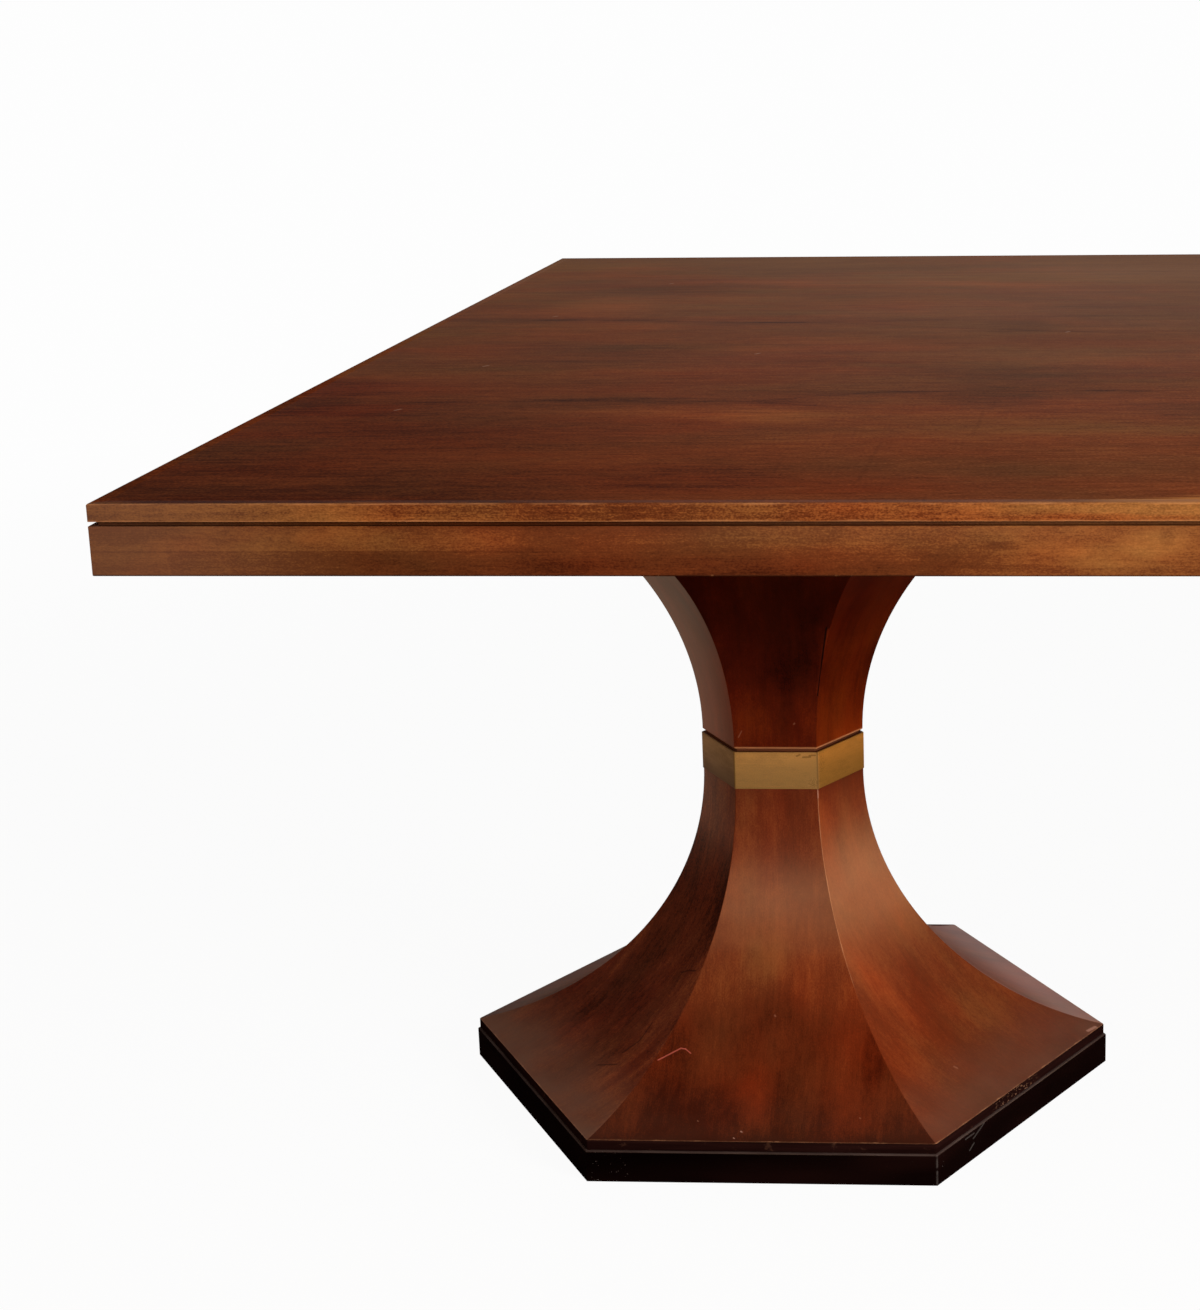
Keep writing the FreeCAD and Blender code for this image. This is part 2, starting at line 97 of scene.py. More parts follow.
# Where in the apron's height its two timbers meet, and how level a face of the lipping is to be veneered
GLUE_LINE_SHARE = 0.45
LEVEL = 0.99

# What each half and side adds to a stave's seed, so that no two staves have the same figure
SEEDS = {"lower": 0.0, "upper": 17.0, "left": 0.0, "right": 31.0}

# The studio, in metres: the floor's radius, and the spot that the soft boxes face
FLOOR_RADIUS = 40.0
LAMP_AIM = (-0.84, 0.0, 0.35)


# Settings that a user can change


def setting(kind, name, default, **limits):
    """A setting with its label and the value that it starts from."""
    return kind(name=name, default=default, **limits)


amount = partial(setting, bpy.props.FloatProperty)
length = partial(amount, unit="LENGTH", precision=4)
share = partial(amount, subtype="FACTOR", min=0.0, max=1.0)
place = partial(setting, bpy.props.FloatVectorProperty, subtype="XYZ", unit="LENGTH")
colour = partial(setting, bpy.props.FloatVectorProperty, subtype="COLOR", min=0.0, max=1.0)


def angle(name, degrees):
    """An angle, given in degrees."""
    return amount(name, math.radians(degrees), unit="ROTATION")


def widths(**sizes):
    """The widths of a timber's figure, from its broad clouds to its finest streaks."""
    return {name: length(f"Width of a {name}", size) for name, size in sizes.items()}


def soft_box(name, spot, size, power):
    """The settings of one soft box."""
    return {
        f"{name}_place": place(f"Place of the {name} light", spot),
        f"{name}_size": length(f"Width of the {name} light", size),
        f"{name}_power": amount(f"Power of the {name} light", power),
    }


class TopLook(bpy.types.PropertyGroup):
    """Colours and grain of the veneer on the top."""

    dark: colour("Darkest streaks", (0.050, 0.0105, 0.0034))
    body: colour("Veneer between streaks", (0.146, 0.0335, 0.0088))
    warm: colour("Orange bands", (0.29, 0.080, 0.019))
    sapwood: colour("Pale streak by the front edge", (0.40, 0.155, 0.040))
    polish: share("How much of the room it mirrors", 0.065)
    __annotations__.update(widths(cloud=0.13, blotch=0.038, band=0.022, line=0.0065, fibre=0.0016))


class EdgeLook(bpy.types.PropertyGroup):
    """Colours and grain of the solid edges."""

    dark: colour("Dark marks", (0.050, 0.0098, 0.0030))
    body: colour("Edge timber", (0.122, 0.0285, 0.0076))
    warm: colour("Lightest timber", (0.28, 0.083, 0.0195))
    arris: colour("Where the stain has rubbed off", (0.46, 0.21, 0.085))
    polish: share("How much of the room it mirrors", 0.10)
    groove: length("Height of the groove over the apron", 0.003)
    __annotations__.update(widths(cloud=0.070, blotch=0.014, band=0.009, line=0.0028, fibre=0.0010))


class StaveLook(bpy.types.PropertyGroup):
    """Colours and grain of the pedestal's staves."""

    dark: colour("Darkest streaks", (0.038, 0.0058, 0.0018))
    body: colour("Veneer between streaks", (0.135, 0.0235, 0.0060))
    warm: colour("Orange streaks", (0.30, 0.072, 0.017))
    # painted_sheen is a painted highlight: a pale band of reflected light across the lower staves below the
    # neck
    painted_sheen: colour("Rubbed lacquer round the waist", (0.34, 0.145, 0.062))
    # dust_and_sheen is dust by the foot together with a painted grey reflection, strongest on the left front
    # facet
    dust_and_sheen: colour("Dusty lacquer by the foot", (0.14, 0.066, 0.040))
    # arris colours the light lines on the ridges and the foot: rubbed-off stain and a painted highlight
    arris: colour("Where the stain has rubbed off", (0.48, 0.23, 0.11))
    # neck colours the light line on the upper neck's chamfer: rubbed arris and a painted reflection of the
    # floor
    neck: colour("Worn arris over the collar", (0.56, 0.235, 0.095))
    polish: share("How much of the room it mirrors", 0.40)
    thickness: length("Thickness at the neck", 0.016)
    ridge: length("Radius of a ridge at the neck", 0.0009)
    __annotations__.update(widths(cloud=0.070, blotch=0.024, band=0.020, line=0.006, fibre=0.0012))


class TrimLook(bpy.types.PropertyGroup):
    """Colours of the plinth, the dark edges, the collar and the steel fixings."""

    lacquer: colour("Black plinth", (0.0032, 0.0009, 0.0007))
    scuff: colour("Chips and scratches in the lacquer", (0.42, 0.36, 0.33))
    # arris_highlight: a painted highlight along the plinth's rounded upper arris
    arris_highlight: colour("Rubbed arris of the plinth", (0.075, 0.050, 0.043))
    ebony: colour("Edge of the base board", (0.0075, 0.0022, 0.0018))
    # ring: lighter than the base board's edge, which paints light into the shaded gap over the collar
    ring: colour("Ring over the collar", (0.080, 0.026, 0.012))
    brass: colour("Aged brass", (0.74, 0.440, 0.145))
    tarnish: colour("Dark film on the brass", (0.20, 0.086, 0.024))
    steel: colour("Zinc-plated fixings", (0.48, 0.47, 0.45))


class UndersideLook(bpy.types.PropertyGroup):
    """Colours and grain of the plain timber under the top."""

    dark: colour("Summer growth", (0.16, 0.085, 0.04))
    body: colour("Plain timber", (0.36, 0.22, 0.115))
    warm: colour("Palest timber", (0.50, 0.34, 0.19))
    __annotations__.update(widths(cloud=0.08, blotch=0.02, band=0.012, line=0.004, fibre=0.0011))


class StudioLook(bpy.types.PropertyGroup):
    """The camera, the floor and the lights."""

    camera_place: place("Place of the camera", (-0.5928, -2.3381, 1.0469))
    pan: angle("Turn of the camera to the left", 3.0)
    tilt: angle("Turn of the camera down", 14.668)
    roll: angle("Turn of the camera about its line of sight", -0.650)
    lens: amount("Focal length on a 36 mm wide sensor", 66.86, unit="CAMERA")
    shift: amount("Sideways shift of the lens", -0.2332)
    white: share("Brightness of the backdrop", 0.985)
    glow: share("Share of the floor that shows the backdrop's white", 0.96)
    floor: share("Floor as the camera sees it", 0.97)
    bounce: share("Floor in the light that it throws back", 0.30)
    # mirrored_glow: the floor behind glows this warm colour in reflections only, a painted reflection
    mirrored_glow: colour("Floor behind, as the lacquer mirrors it", (0.92, 0.62, 0.42))
    walls: colour("Sides of the room, as the lacquer mirrors them", (0.22, 0.10, 0.035))
    ambient: share("Light that the room gives from its sides", 0.70)
    warmth: colour("The two weaker soft boxes", (1.0, 0.62, 0.34))
    __annotations__.update(soft_box("key", (2.0, -2.3, 1.45), 1.35, 180.0))
    __annotations__.update(soft_box("front", (-1.08, -2.75, 1.30), 1.0, 20.0))
    __annotations__.update(soft_box("rim", (2.7, 1.25, 0.75), 1.5, 32.0))


# Shader nodes written as sums


class Signal:
    """A value on its way between two shader nodes. A sum written on it adds Math nodes."""

    def __init__(self, finish, socket):
        self.finish = finish
        self.socket = socket

    def __add__(self, other):
        return self.finish.math("ADD", self, other)

    def __sub__(self, other):
        return self.finish.math("SUBTRACT", self, other)

    def __rsub__(self, other):
        return self.finish.math("SUBTRACT", other, self)

    def __mul__(self, other):
        return self.finish.math("MULTIPLY", self, other)

    def __truediv__(self, other):
        return self.finish.math("DIVIDE", self, other)

    def __rtruediv__(self, other):
        return self.finish.math("DIVIDE", other, self)

    def __abs__(self):
        return self.finish.math("ABSOLUTE", self)

    __radd__ = __add__
    __rmul__ = __mul__


class Finish:
    """One material, or the world, and the nodes that make its look."""

    def __init__(self, name, tree=None):
        if tree is None:
            self.material = bpy.data.materials.new(name)
            self.material.use_nodes = True
            tree = self.material.node_tree
        self.tree = tree
        self.tree.nodes.clear()
        self.shade = None

    def node(self, kind, settings=None, inputs=None, output=0):
        """Adds a node, sets it up, fills its sockets and gives one of its outputs."""
        made = self.tree.nodes.new(f"ShaderNode{kind}")
        for name, value in (settings or {}).items():
            if name == "stops":
                self.set_stops(made.color_ramp, value)
            else:
                setattr(made, name, value)
        for key, value in (inputs or {}).items():
            if isinstance(value, Signal):
                self.tree.links.new(value.socket, made.inputs[key])
            else:
                made.inputs[key].default_value = value
        return Signal(self, made.outputs[output]) if made.outputs else made

    @staticmethod
    def set_stops(ramp, stops):
        """Sets a colour ramp's stops from pairs of a place and a colour."""
        while len(ramp.elements) < len(stops):
            ramp.elements.new(1.0)
        for element, (spot, shade) in zip(ramp.elements, stops):
            element.position = spot
            element.color = (*shade, 1.0)

    def math(self, operation, *values):
        """A Math node."""
        return self.node("Math", {"operation": operation}, dict(enumerate(values)))

    def least(self, first, second):
        """The smaller of two values."""
        return self.math("MINIMUM", first, second)

    def most(self, first, second):
        """The larger of two values."""
        return self.math("MAXIMUM", first, second)

    def clamp(self, value):
        """A value kept from 0 to 1."""
        return self.node("Clamp", {}, {"Value": value, "Min": 0.0, "Max": 1.0})

    def fade(self, value, start, end, low=0.0, high=1.0):
        """A smooth change from low to high while the value goes from start to end."""
        if start > end:
            start, end, low, high = end, start, high, low
        inputs = {"Value": value, "From Min": start, "From Max": end, "To Min": low, "To Max": high}
        return self.node("MapRange", {"interpolation_type": "SMOOTHSTEP"}, inputs)

    def join(self, x, y, z):
        """A vector made of three values."""
        return self.node("CombineXYZ", {}, {0: x, 1: y, 2: z})

    def parts(self, vector):
        """The three values of a vector."""
        x = self.node("SeparateXYZ", {}, {0: vector})
        return [Signal(self, output) for output in x.socket.node.outputs]

    def object_place(self):
        """The place on the piece, in metres."""
        return self.node("TexCoord", {}, {}, "Object")

    def noise(self, spot, size, seed, detail=2.0, roughness=0.5, distortion=0.0):
        """Soft noise about 0. Its patches have a size in metres along two axes or all three."""
        if isinstance(spot, tuple):
            spot = self.join(*spot)
        scale = [1 / part for part in (*size, 1.0)[:3]]
        mapping = {"Vector": spot, "Location": (seed, 1.7 * seed, 0.6 * seed), "Scale": scale}
        moved = self.node("Mapping", {"vector_type": "POINT"}, mapping)
        look = {"Vector": moved, "Scale": 1.0, "Detail": detail, "Roughness": roughness}
        return self.node("TexNoise", {}, {**look, "Distortion": distortion}) - 0.5

    def blend(self, factor, first, second, kind="MIX"):
        """Two colours mixed."""
        settings = {"data_type": "RGBA", "blend_type": kind, "clamp_factor": True}
        shades = [shade if isinstance(shade, Signal) else (*shade, 1.0) for shade in (first, second)]
        return self.node("Mix", settings, {0: factor, 6: shades[0], 7: shades[1]}, 2)

    def lay(self, factor, shade, kind="MIX"):
        """Blends a colour into the material's colour so far."""
        self.shade = self.blend(factor, self.shade, shade, kind)

    def ramp(self, value, stops):
        """A colour taken from a ramp of stops."""
        return self.node("ValToRGB", {"stops": stops}, {0: value})

    def hypotenuse(self, first, second):
        """The length of a step that goes so far along two axes."""
        return self.math("SQRT", first * first + second * second)

    def ray(self, kind):
        """1 on rays of one kind, and 0 on the rest."""
        return self.node("LightPath", {}, {}, f"Is {kind} Ray")

    def seen(self):
        """1 on rays from the camera, also through something clear, and 0 on the rest."""
        return self.clamp(self.ray("Camera") + self.ray("Transmission"))

    def stroke(self, across, along, points, width):
        """A thin mark drawn through points on a surface: 1 on the mark and 0 away from it."""
        nearest = None
        for (x0, y0), (x1, y1) in zip(points, points[1:]):
            run_x, run_y = x1 - x0, y1 - y0
            side, ahead = across - x0, along - y0
            travel = self.clamp((side * run_x + ahead * run_y) / (run_x ** 2 + run_y ** 2))
            gap = self.hypotenuse(side - travel * run_x, ahead - travel * run_y)
            nearest = gap if nearest is None else self.least(nearest, gap)
        return self.fade(nearest, width, 0.35 * width)

    def trace(self, value, points):
        """The height, at a value, of a smooth line through points that run in order."""
        start, end = points[0][0], points[-1][0]
        heights = [height for _, height in points]
        low, span = min(heights), max(max(heights) - min(heights), 0.000001)
        share_along = self.clamp((value - start) / (end - start))
        made = self.node("FloatCurve", {}, {"Value": share_along})
        mapping = made.socket.node.mapping
        curve = mapping.curves[0].points
        while len(curve) < len(points):
            curve.new(0.5, 0.5)
        for knot, (spot, height) in zip(curve, points):
            knot.location = ((spot - start) / (end - start), (height - low) / span)
        mapping.update()
        return made * span + low

    def gap(self, spot, point):
        """How far a place on the piece lies from a point."""
        return self.node("VectorMath", {"operation": "DISTANCE"}, {0: spot, 1: point}, "Value")

    def surface(self, roughness, relief, depth, coat=0.0, coat_roughness=0.28, metal=0.0, specular=0.0):
        """The Principled shader and the material's output. Shares that change are kept from 0 to 1."""
        inputs = {"Roughness": roughness, "Coat Weight": coat, "Metallic": metal}
        for name, value in inputs.items():
            inputs[name] = self.clamp(value) if isinstance(value, Signal) else value
        inputs["Base Color"] = self.shade
        inputs["Coat Roughness"] = coat_roughness
        inputs["Specular IOR Level"] = specular
        inputs["Normal"] = self.node("Bump", {}, {"Strength": 1.0, "Distance": depth, "Height": relief})
        shader = self.node("BsdfPrincipled", {}, inputs)
        self.node("OutputMaterial", {}, {"Surface": shader})
        return self.material

    def blot(self, across, along, spot, reach):
        """A soft patch: 1 in its middle and 0 beyond its reach."""
        side = (across - spot[0]) / reach[0]
        ahead = (along - spot[1]) / reach[1]
        return self.fade(side * side + ahead * ahead, 1.0, 0.0)


# Timber


def grain(finish, along, across, look, seed, patchy, streaky, fine):
    """The figure of a timber surface: its tone and its hue, both about 0, its relief and its pores."""
    plane = finish.join(along, across, seed)
    drift = finish.noise(plane, (0.90, 0.40), seed, 1.0)
    waver = finish.noise(plane, (0.20, 0.07), seed + 3.1, 2.0)
    swept = across + drift * 0.07 + waver * 0.014
    rings = finish.join(swept, along, seed)
    bands = finish.noise(rings, (look.band, 0.8), seed + 7.7, 2.0, 0.55)
    lines = finish.noise(rings, (look.line, 0.22), seed + 9.2, 2.0, 0.6)
    clouds = finish.noise(plane, (2.0 * look.cloud, look.cloud), seed + 11.9, 2.0)
    blotches = finish.noise(plane, (2.4 * look.blotch, look.blotch), seed + 13.3, 3.0, 0.6, 0.4)
    mottle = finish.noise(plane, (0.42 * look.blotch, 0.17 * look.blotch), seed + 15.1, 2.0, 0.6)
    fibres = finish.noise(plane, (28.0 * look.fibre, look.fibre), seed + 17.0, 2.0, 0.65)
    grit = finish.noise(plane, (1.7 * look.fibre, look.fibre), seed + 18.0, 1.0)
    pores = finish.fade(finish.noise(plane, (0.008, 0.5 * look.fibre), seed + 19.0, 1.0), 0.14, 0.26)
    tone = (clouds * 1.05 + blotches * 0.58) * patchy + (bands * 0.45 + lines * 0.30) * streaky
    tone = tone + (mottle * 0.30 + fibres * 0.24 + grit * 0.45) * fine - pores * 0.05
    hue = finish.noise(plane, (1.8 * look.cloud, 0.9 * look.cloud), seed + 61.0, 3.0, 0.6)
    return tone, hue, fibres * 0.25 - pores, pores


def timber_colour(finish, tone, hue, look):
    """Lays the colour of timber: lighter for a higher tone, olive for a high hue and red for a low one."""
    dark, body, warm = (Vector(shade) for shade in (look.dark, look.body, look.warm))
    stops = [(0.0, dark * 0.55), (0.22, dark), (0.38, dark.lerp(body, 0.62)), (0.50, body),
             (0.66, body.lerp(warm, 0.50)), (0.84, warm), (1.0, warm * 1.3)]
    finish.shade = finish.ramp(finish.clamp(tone + 0.5), stops)
    finish.lay(finish.clamp(hue * 3.3), (0.78, 1.05, 1.15), "MULTIPLY")
    finish.lay(finish.clamp(hue * -3.3), (1.12, 0.80, 0.66), "MULTIPLY")


def add_patches(finish, tone, hue, across, along, patches, ragged=0.0, broken=1.0):
    """Adds soft patches, each a place, a reach, a change of tone and a change of hue."""
    for spot, reach, lighter, greener in patches:
        patch = finish.blot(across + ragged, along + ragged, spot, reach) * broken
        tone = tone + patch * lighter
        if greener:
            hue = hue + patch * greener
    return tone, hue


def grey(level):
    """A colour without hue."""
    return (level, level, level)


def dress(node, material):
    """Gives a piece of the frame its finish."""
    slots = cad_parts[node].data.materials
    slots.clear()
    slots.append(material)


# The figure of the veneer by the left pedestal, in metres: lines as points, width and strength, and patches
TOP_LINES = [
    ([(-1.20, -0.338), (-1.12, -0.350), (-1.03, -0.372), (-0.98, -0.392), (-0.90, -0.399), (-0.83, -0.401),
      (-0.76, -0.371), (-0.67, -0.353), (-0.45, -0.351)], 0.0055, 0.13),
    ([(-1.20, -0.402), (-1.03, -0.402), (-0.98, -0.394), (-0.90, -0.400), (-0.83, -0.403), (-0.76, -0.426),
      (-0.66, -0.453), (-0.58, -0.461), (-0.45, -0.482)], 0.0055, 0.13),
    ([(-1.20, 0.160), (-1.05, 0.150), (-0.98, 0.140), (-0.90, 0.131), (-0.79, 0.120), (-0.74, 0.130),
      (-0.64, 0.148), (-0.45, 0.172)], 0.008, 0.09),
    ([(-1.20, 0.144), (-1.05, 0.148), (-0.90, 0.129), (-0.79, 0.117), (-0.70, 0.082), (-0.60, 0.050),
      (-0.45, 0.014)], 0.008, 0.10),
    ([(-1.20, -0.185), (-0.90, -0.155), (-0.82, -0.160), (-0.68, -0.190), (-0.45, -0.235)], 0.006, 0.07),
    ([(-1.10, 0.355), (-0.90, 0.300), (-0.82, 0.270), (-0.60, 0.250)], 0.010, 0.05),
    ([(-1.05, -0.318), (-0.95, -0.327), (-0.82, -0.345), (-0.70, -0.350)], 0.007, 0.06),
]
TOP_PATCHES = [
    ((-0.90, -0.40), (0.16, 0.030), -0.07, 0.06), ((-0.62, -0.385), (0.055, 0.070), -0.10, 0.14),
    ((-0.60, -0.300), (0.090, 0.060), -0.05, 0.12), ((-1.18, -0.36), (0.060, 0.130), -0.16, -0.10),
    ((-1.13, -0.44), (0.060, 0.045), 0.00, -0.30), ((-0.79, -0.475), (0.065, 0.050), 0.11, 0.06),
    ((-0.88, -0.455), (0.140, 0.035), 0.06, 0.02), ((-0.93, -0.495), (0.150, 0.040), -0.04, 0.08),
    ((-1.15, -0.62), (0.060, 0.080), -0.05, 0.12), ((-0.78, -0.68), (0.110, 0.050), -0.05, 0.06),
    ((-0.70, -0.215), (0.110, 0.040), 0.05, -0.08), ((-1.13, 0.145), (0.090, 0.035), -0.06, 0.12),
    ((-0.60, 0.090), (0.050, 0.070), -0.08, 0.12), ((-1.05, 0.28), (0.070, 0.120), 0.06, -0.06),
    ((-0.95, 0.43), (0.150, 0.080), -0.05, 0.10), ((-0.76, 0.50), (0.180, 0.070), 0.03, -0.12),
    ((-1.05, 0.08), (0.130, 0.060), 0.04, -0.12), ((-0.80, -0.02), (0.090, 0.040), 0.05, -0.06),
    ((-1.02, -0.07), (0.120, 0.050), -0.05, 0.06), ((-0.73, -0.52), (0.350, 0.120), 0.08, 0.0),
    ((-0.85, 0.25), (0.400, 0.120), 0.10, 0.0), ((-1.03, 0.47), (0.160, 0.150), -0.09, 0.0),
    ((-0.58, 0.60), (0.260, 0.180), 0.06, 0.0), ((-0.62, -0.15), (0.180, 0.080), 0.09, 0.12),
    ((-0.92, -0.15), (0.240, 0.100), 0.00, 0.06), ((-0.78, -0.46), (0.180, 0.090), 0.00, -0.12),
    ((-0.70, -0.75), (0.240, 0.050), -0.03, -0.10), ((-0.81, -0.74), (0.080, 0.060), -0.10, 0.0),
    ((-0.95, -0.57), (0.200, 0.090), -0.07, 0.0), ((-0.50, -0.68), (0.120, 0.120), 0.07, 0.0),
    ((-1.12, -0.75), (0.080, 0.040), 0.09, 0.0), ((-1.12, -0.40), (0.090, 0.120), -0.07, 0.0),
]
# Nicks and dark scratches across the grain, and the step from one veneer sheet to the next, in metres
TOP_SPECKS = [
    (-1.088, 0.181), (-1.080, -0.191), (-1.012, 0.500), (-1.096, -0.442), (-0.844, -0.116), (-0.557, 0.033),
]
TOP_SCRATCHES = [
    [(-0.700, -0.600), (-0.706, -0.750)], [(-0.765, -0.655), (-0.765, -0.712)],
    [(-0.628, -0.455), (-0.633, -0.560)], [(-0.618, -0.395), (-0.622, -0.450)],
]
SHEET_STEP = 1.30


def top_finish(name, look, joints):
    """The lacquered veneer of the top, whose second sheet repeats the figure of the first."""
    front_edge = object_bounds()[0][1]
    finish = Finish(name)
    x, y, _ = finish.parts(finish.object_place())
    fine = finish.fade(y, 0.5, -0.6, 0.55, 1.0)
    tone, hue, relief, pores = grain(finish, x, y, look, 2.0, 0.24, 0.38, fine)
    ragged = finish.noise((x, y, 2.0), (0.07, 0.018), 4.0, 3.0, 0.6)
    feather = finish.noise((x, y, 5.0), (0.05, 0.004), 6.0, 2.0, 0.6)
    broken = finish.fade(finish.noise((x, y, 7.0), (0.09, 0.05), 8.0, 2.0), -0.10, 0.12, 0.30, 1.0)
    streaks = finish.clamp(finish.noise((x, y, 3.0), (0.16, 0.0045), 21.0, 3.0, 0.6) * 3.5 + 0.9)
    u = x - finish.math("GREATER_THAN", x, 0.0) * SHEET_STEP
    for points, width, strength in TOP_LINES:
        gap = abs(y + ragged * 0.012 - finish.trace(u, points))
        ends = finish.fade(u, points[0][0] - 0.02, points[0][0] + 0.05) * finish.fade(u, -0.38, -0.50)
        core = finish.fade(gap + feather * 0.014, 0.6 * width, 0.0) * 0.95
        halo = finish.fade(gap + ragged * 0.03, 5.0 * width, 0.0) * streaks * 0.42
        tone = tone - (core + halo) * broken * ends * strength
    tone, hue = add_patches(finish, tone, hue, u, y, TOP_PATCHES, ragged * 0.06, streaks)
    # Painted shade and light: darker at the front left corner and in a strip by the front edge, lighter and
    # greyer towards the back, where the veneer mirrors the room
    corner = finish.fade(x, -0.75, -1.15) * finish.fade(y, -0.25, -0.60)
    strip = finish.fade(y, -0.66, -0.80) * finish.fade(x, -0.50, -0.66)
    tone = tone - corner * 0.17 - strip * 0.07 + finish.fade(y, -0.3, 0.7) * 0.16 - 0.01
    hue = hue - corner * 0.06 + finish.fade(y, -0.60, 0.10) * 0.13 + finish.fade(y, 0.20, 0.65) * 0.09
    hue = hue + finish.fade(x, -0.90, -0.50) * 0.10
    timber_colour(finish, tone, hue, look)
    flare = finish.fade(x, -0.63, -0.25) * finish.fade(x, 0.50, -0.20) * 0.075 - 0.002
    wisp = finish.noise((x, y, 8.0), (0.10, 0.003), 9.0, 3.0, 0.6)
    pale = finish.fade(flare + wisp * 0.05 + front_edge - y, -0.004, 0.010)
    finish.lay(pale * 0.70, look.sapwood)
    for spot in TOP_SPECKS:
        nick = finish.stroke(u, y, [spot, (spot[0] + 0.003, spot[1] + 0.006)], 0.0020)
        finish.lay(nick * 0.28, (0.5, 0.3, 0.2))
    for points in TOP_SCRATCHES:
        scratch = finish.stroke(u + ragged * 0.008, y, points, 0.0022)
        finish.lay(scratch * 0.17, look.dark)
    for joint in joints:
        finish.lay(finish.fade(abs(y - joint), 0.0009, 0.0002) * 0.25, look.dark)
    smear = finish.noise((x, y, 0.0), (0.30, 0.22), 42.0, 3.0, 0.6)
    gloss = look.polish + smear * 0.03
    wave = finish.noise((x, y, 0.0), (0.06, 0.04), 52.0, 1.0)
    rough = 0.62 + smear * 0.10 + pores * 0.10
    return finish.surface(rough, relief * 0.5 + wave * 4.0, 0.03 * MM, gloss, 0.08)


def edge_finish(look, node, seed, along_x, groove=None, glue_line=None):
    """The lacquered solid timber of one edge, with its grain along the edge, and painted shade in the
    apron's groove and along its lower arris.
    """
    low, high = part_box(node)
    finish = Finish(node)
    x, y, z = finish.parts(finish.object_place())
    along, outward = (x, y) if along_x else (y, x)
    across = z + outward * 0.6
    streaky, fine, olive = (0.90, 1.5, 0.12) if groove is None else (0.50, 0.80, 0.10)
    tone, hue, relief, pores = grain(finish, along, across, look, seed, 0.52, streaky, fine)
    hue = hue + olive
    tone = tone + finish.fade(along, -0.85, -0.45) * 0.13 - 0.03
    upper_tone, lower_tone = EDGE_TONES.get(node, (None, None))
    if upper_tone is not None:
        change = finish.trace(along, upper_tone)
        if lower_tone is not None:
            upper_half = finish.fade(z, glue_line - 0.0025, glue_line + 0.0015)
            change = change * upper_half + finish.trace(along, lower_tone) * (1.0 - upper_half)
        tone = tone + change
    hue = hue + finish.fade(along, -0.80, -1.10) * 0.20 + finish.fade(along, -0.60, -0.45) * 0.10
    tone, hue = add_patches(finish, tone, hue, along, z, EDGE_PATCHES.get(node, ()))
    if glue_line is not None:
        wander = finish.noise((along, 0.0, seed), (0.5, 1.0), 3.0) * 0.002
        seen = finish.fade(finish.noise((along, 3.0, seed), (0.3, 1.0), 5.0), -0.1, 0.1)
        tone = tone - finish.fade(abs(z - glue_line + wander), 0.0009, 0.0) * seen * 0.12
    timber_colour(finish, tone, hue, look)
    finish.lay(finish.fade(along, -1.02, -1.19) * 0.45, (0.150, 0.075, 0.048))
    reach = max(abs(low.y), abs(high.y)) if along_x else max(abs(low.x), abs(high.x))
    rim = abs(outward) - reach
    near_top = finish.hypotenuse(rim, z - high.z)
    near_foot = finish.hypotenuse(rim, z - low.z)
    rubbed = finish.noise((along, z, seed), (0.035, 0.004), seed + 41.0, 3.0, 0.7)
    worn_edge = near_top if groove is not None else finish.least(near_top, near_foot)
    wear = finish.fade(worn_edge - rubbed * 0.0030, 0.0011, 0.0002)
    finish.lay(wear * 0.38, look.arris)
    if groove is not None:
        flecks = finish.fade(finish.noise((along, 5.0, seed), (0.006, 1.0), 44.0, 3.0), 0.16, 0.20)
        # Painted shade: a dark line along the apron's lower arris, with light flecks of wear in it
        lower_arris_shade = finish.fade(near_foot, 0.0016, 0.0004)
        finish.lay(lower_arris_shade * 0.70, (0.022, 0.008, 0.004))
        finish.lay(lower_arris_shade * flecks * 0.25, look.arris)
        # Painted shade on the faces set back in the groove
        groove_shade = finish.fade(rim, -0.0004, -0.0012) * finish.fade(z, groove - 0.0006, groove - 0.0002)
        finish.lay(groove_shade * 0.50, (0.020, 0.007, 0.003))
    gloss = look.polish + rubbed * 0.06 - wear * 0.1
    return finish.surface(0.58 + rubbed * 0.10 + pores * 0.1, relief, 0.03 * MM, gloss)


# Along the front edges, in metres: how the tone changes on the lipping, and over and under the glue line
# of the apron, and soft patches by their place along the edge and their height
EDGE_TONES = {
    "lipping_front": ([
        (-1.15, 0.19), (-1.07, 0.28), (-0.99, 0.03), (-0.91, 0.01), (-0.83, 0.10), (-0.75, 0.14),
        (-0.67, 0.0), (-0.59, 0.14), (-0.51, 0.03)], None),
    "apron_front": ([
        (-1.15, 0.03), (-1.07, 0.05), (-0.99, 0.04), (-0.91, -0.11), (-0.83, -0.04), (-0.75, -0.04),
        (-0.67, -0.06), (-0.59, 0.10), (-0.51, 0.09)], [
        (-1.15, 0.07), (-1.07, -0.08), (-0.99, -0.11), (-0.91, -0.14), (-0.83, -0.01), (-0.75, -0.08),
        (-0.67, -0.10), (-0.59, 0.06), (-0.51, 0.01)]),
}
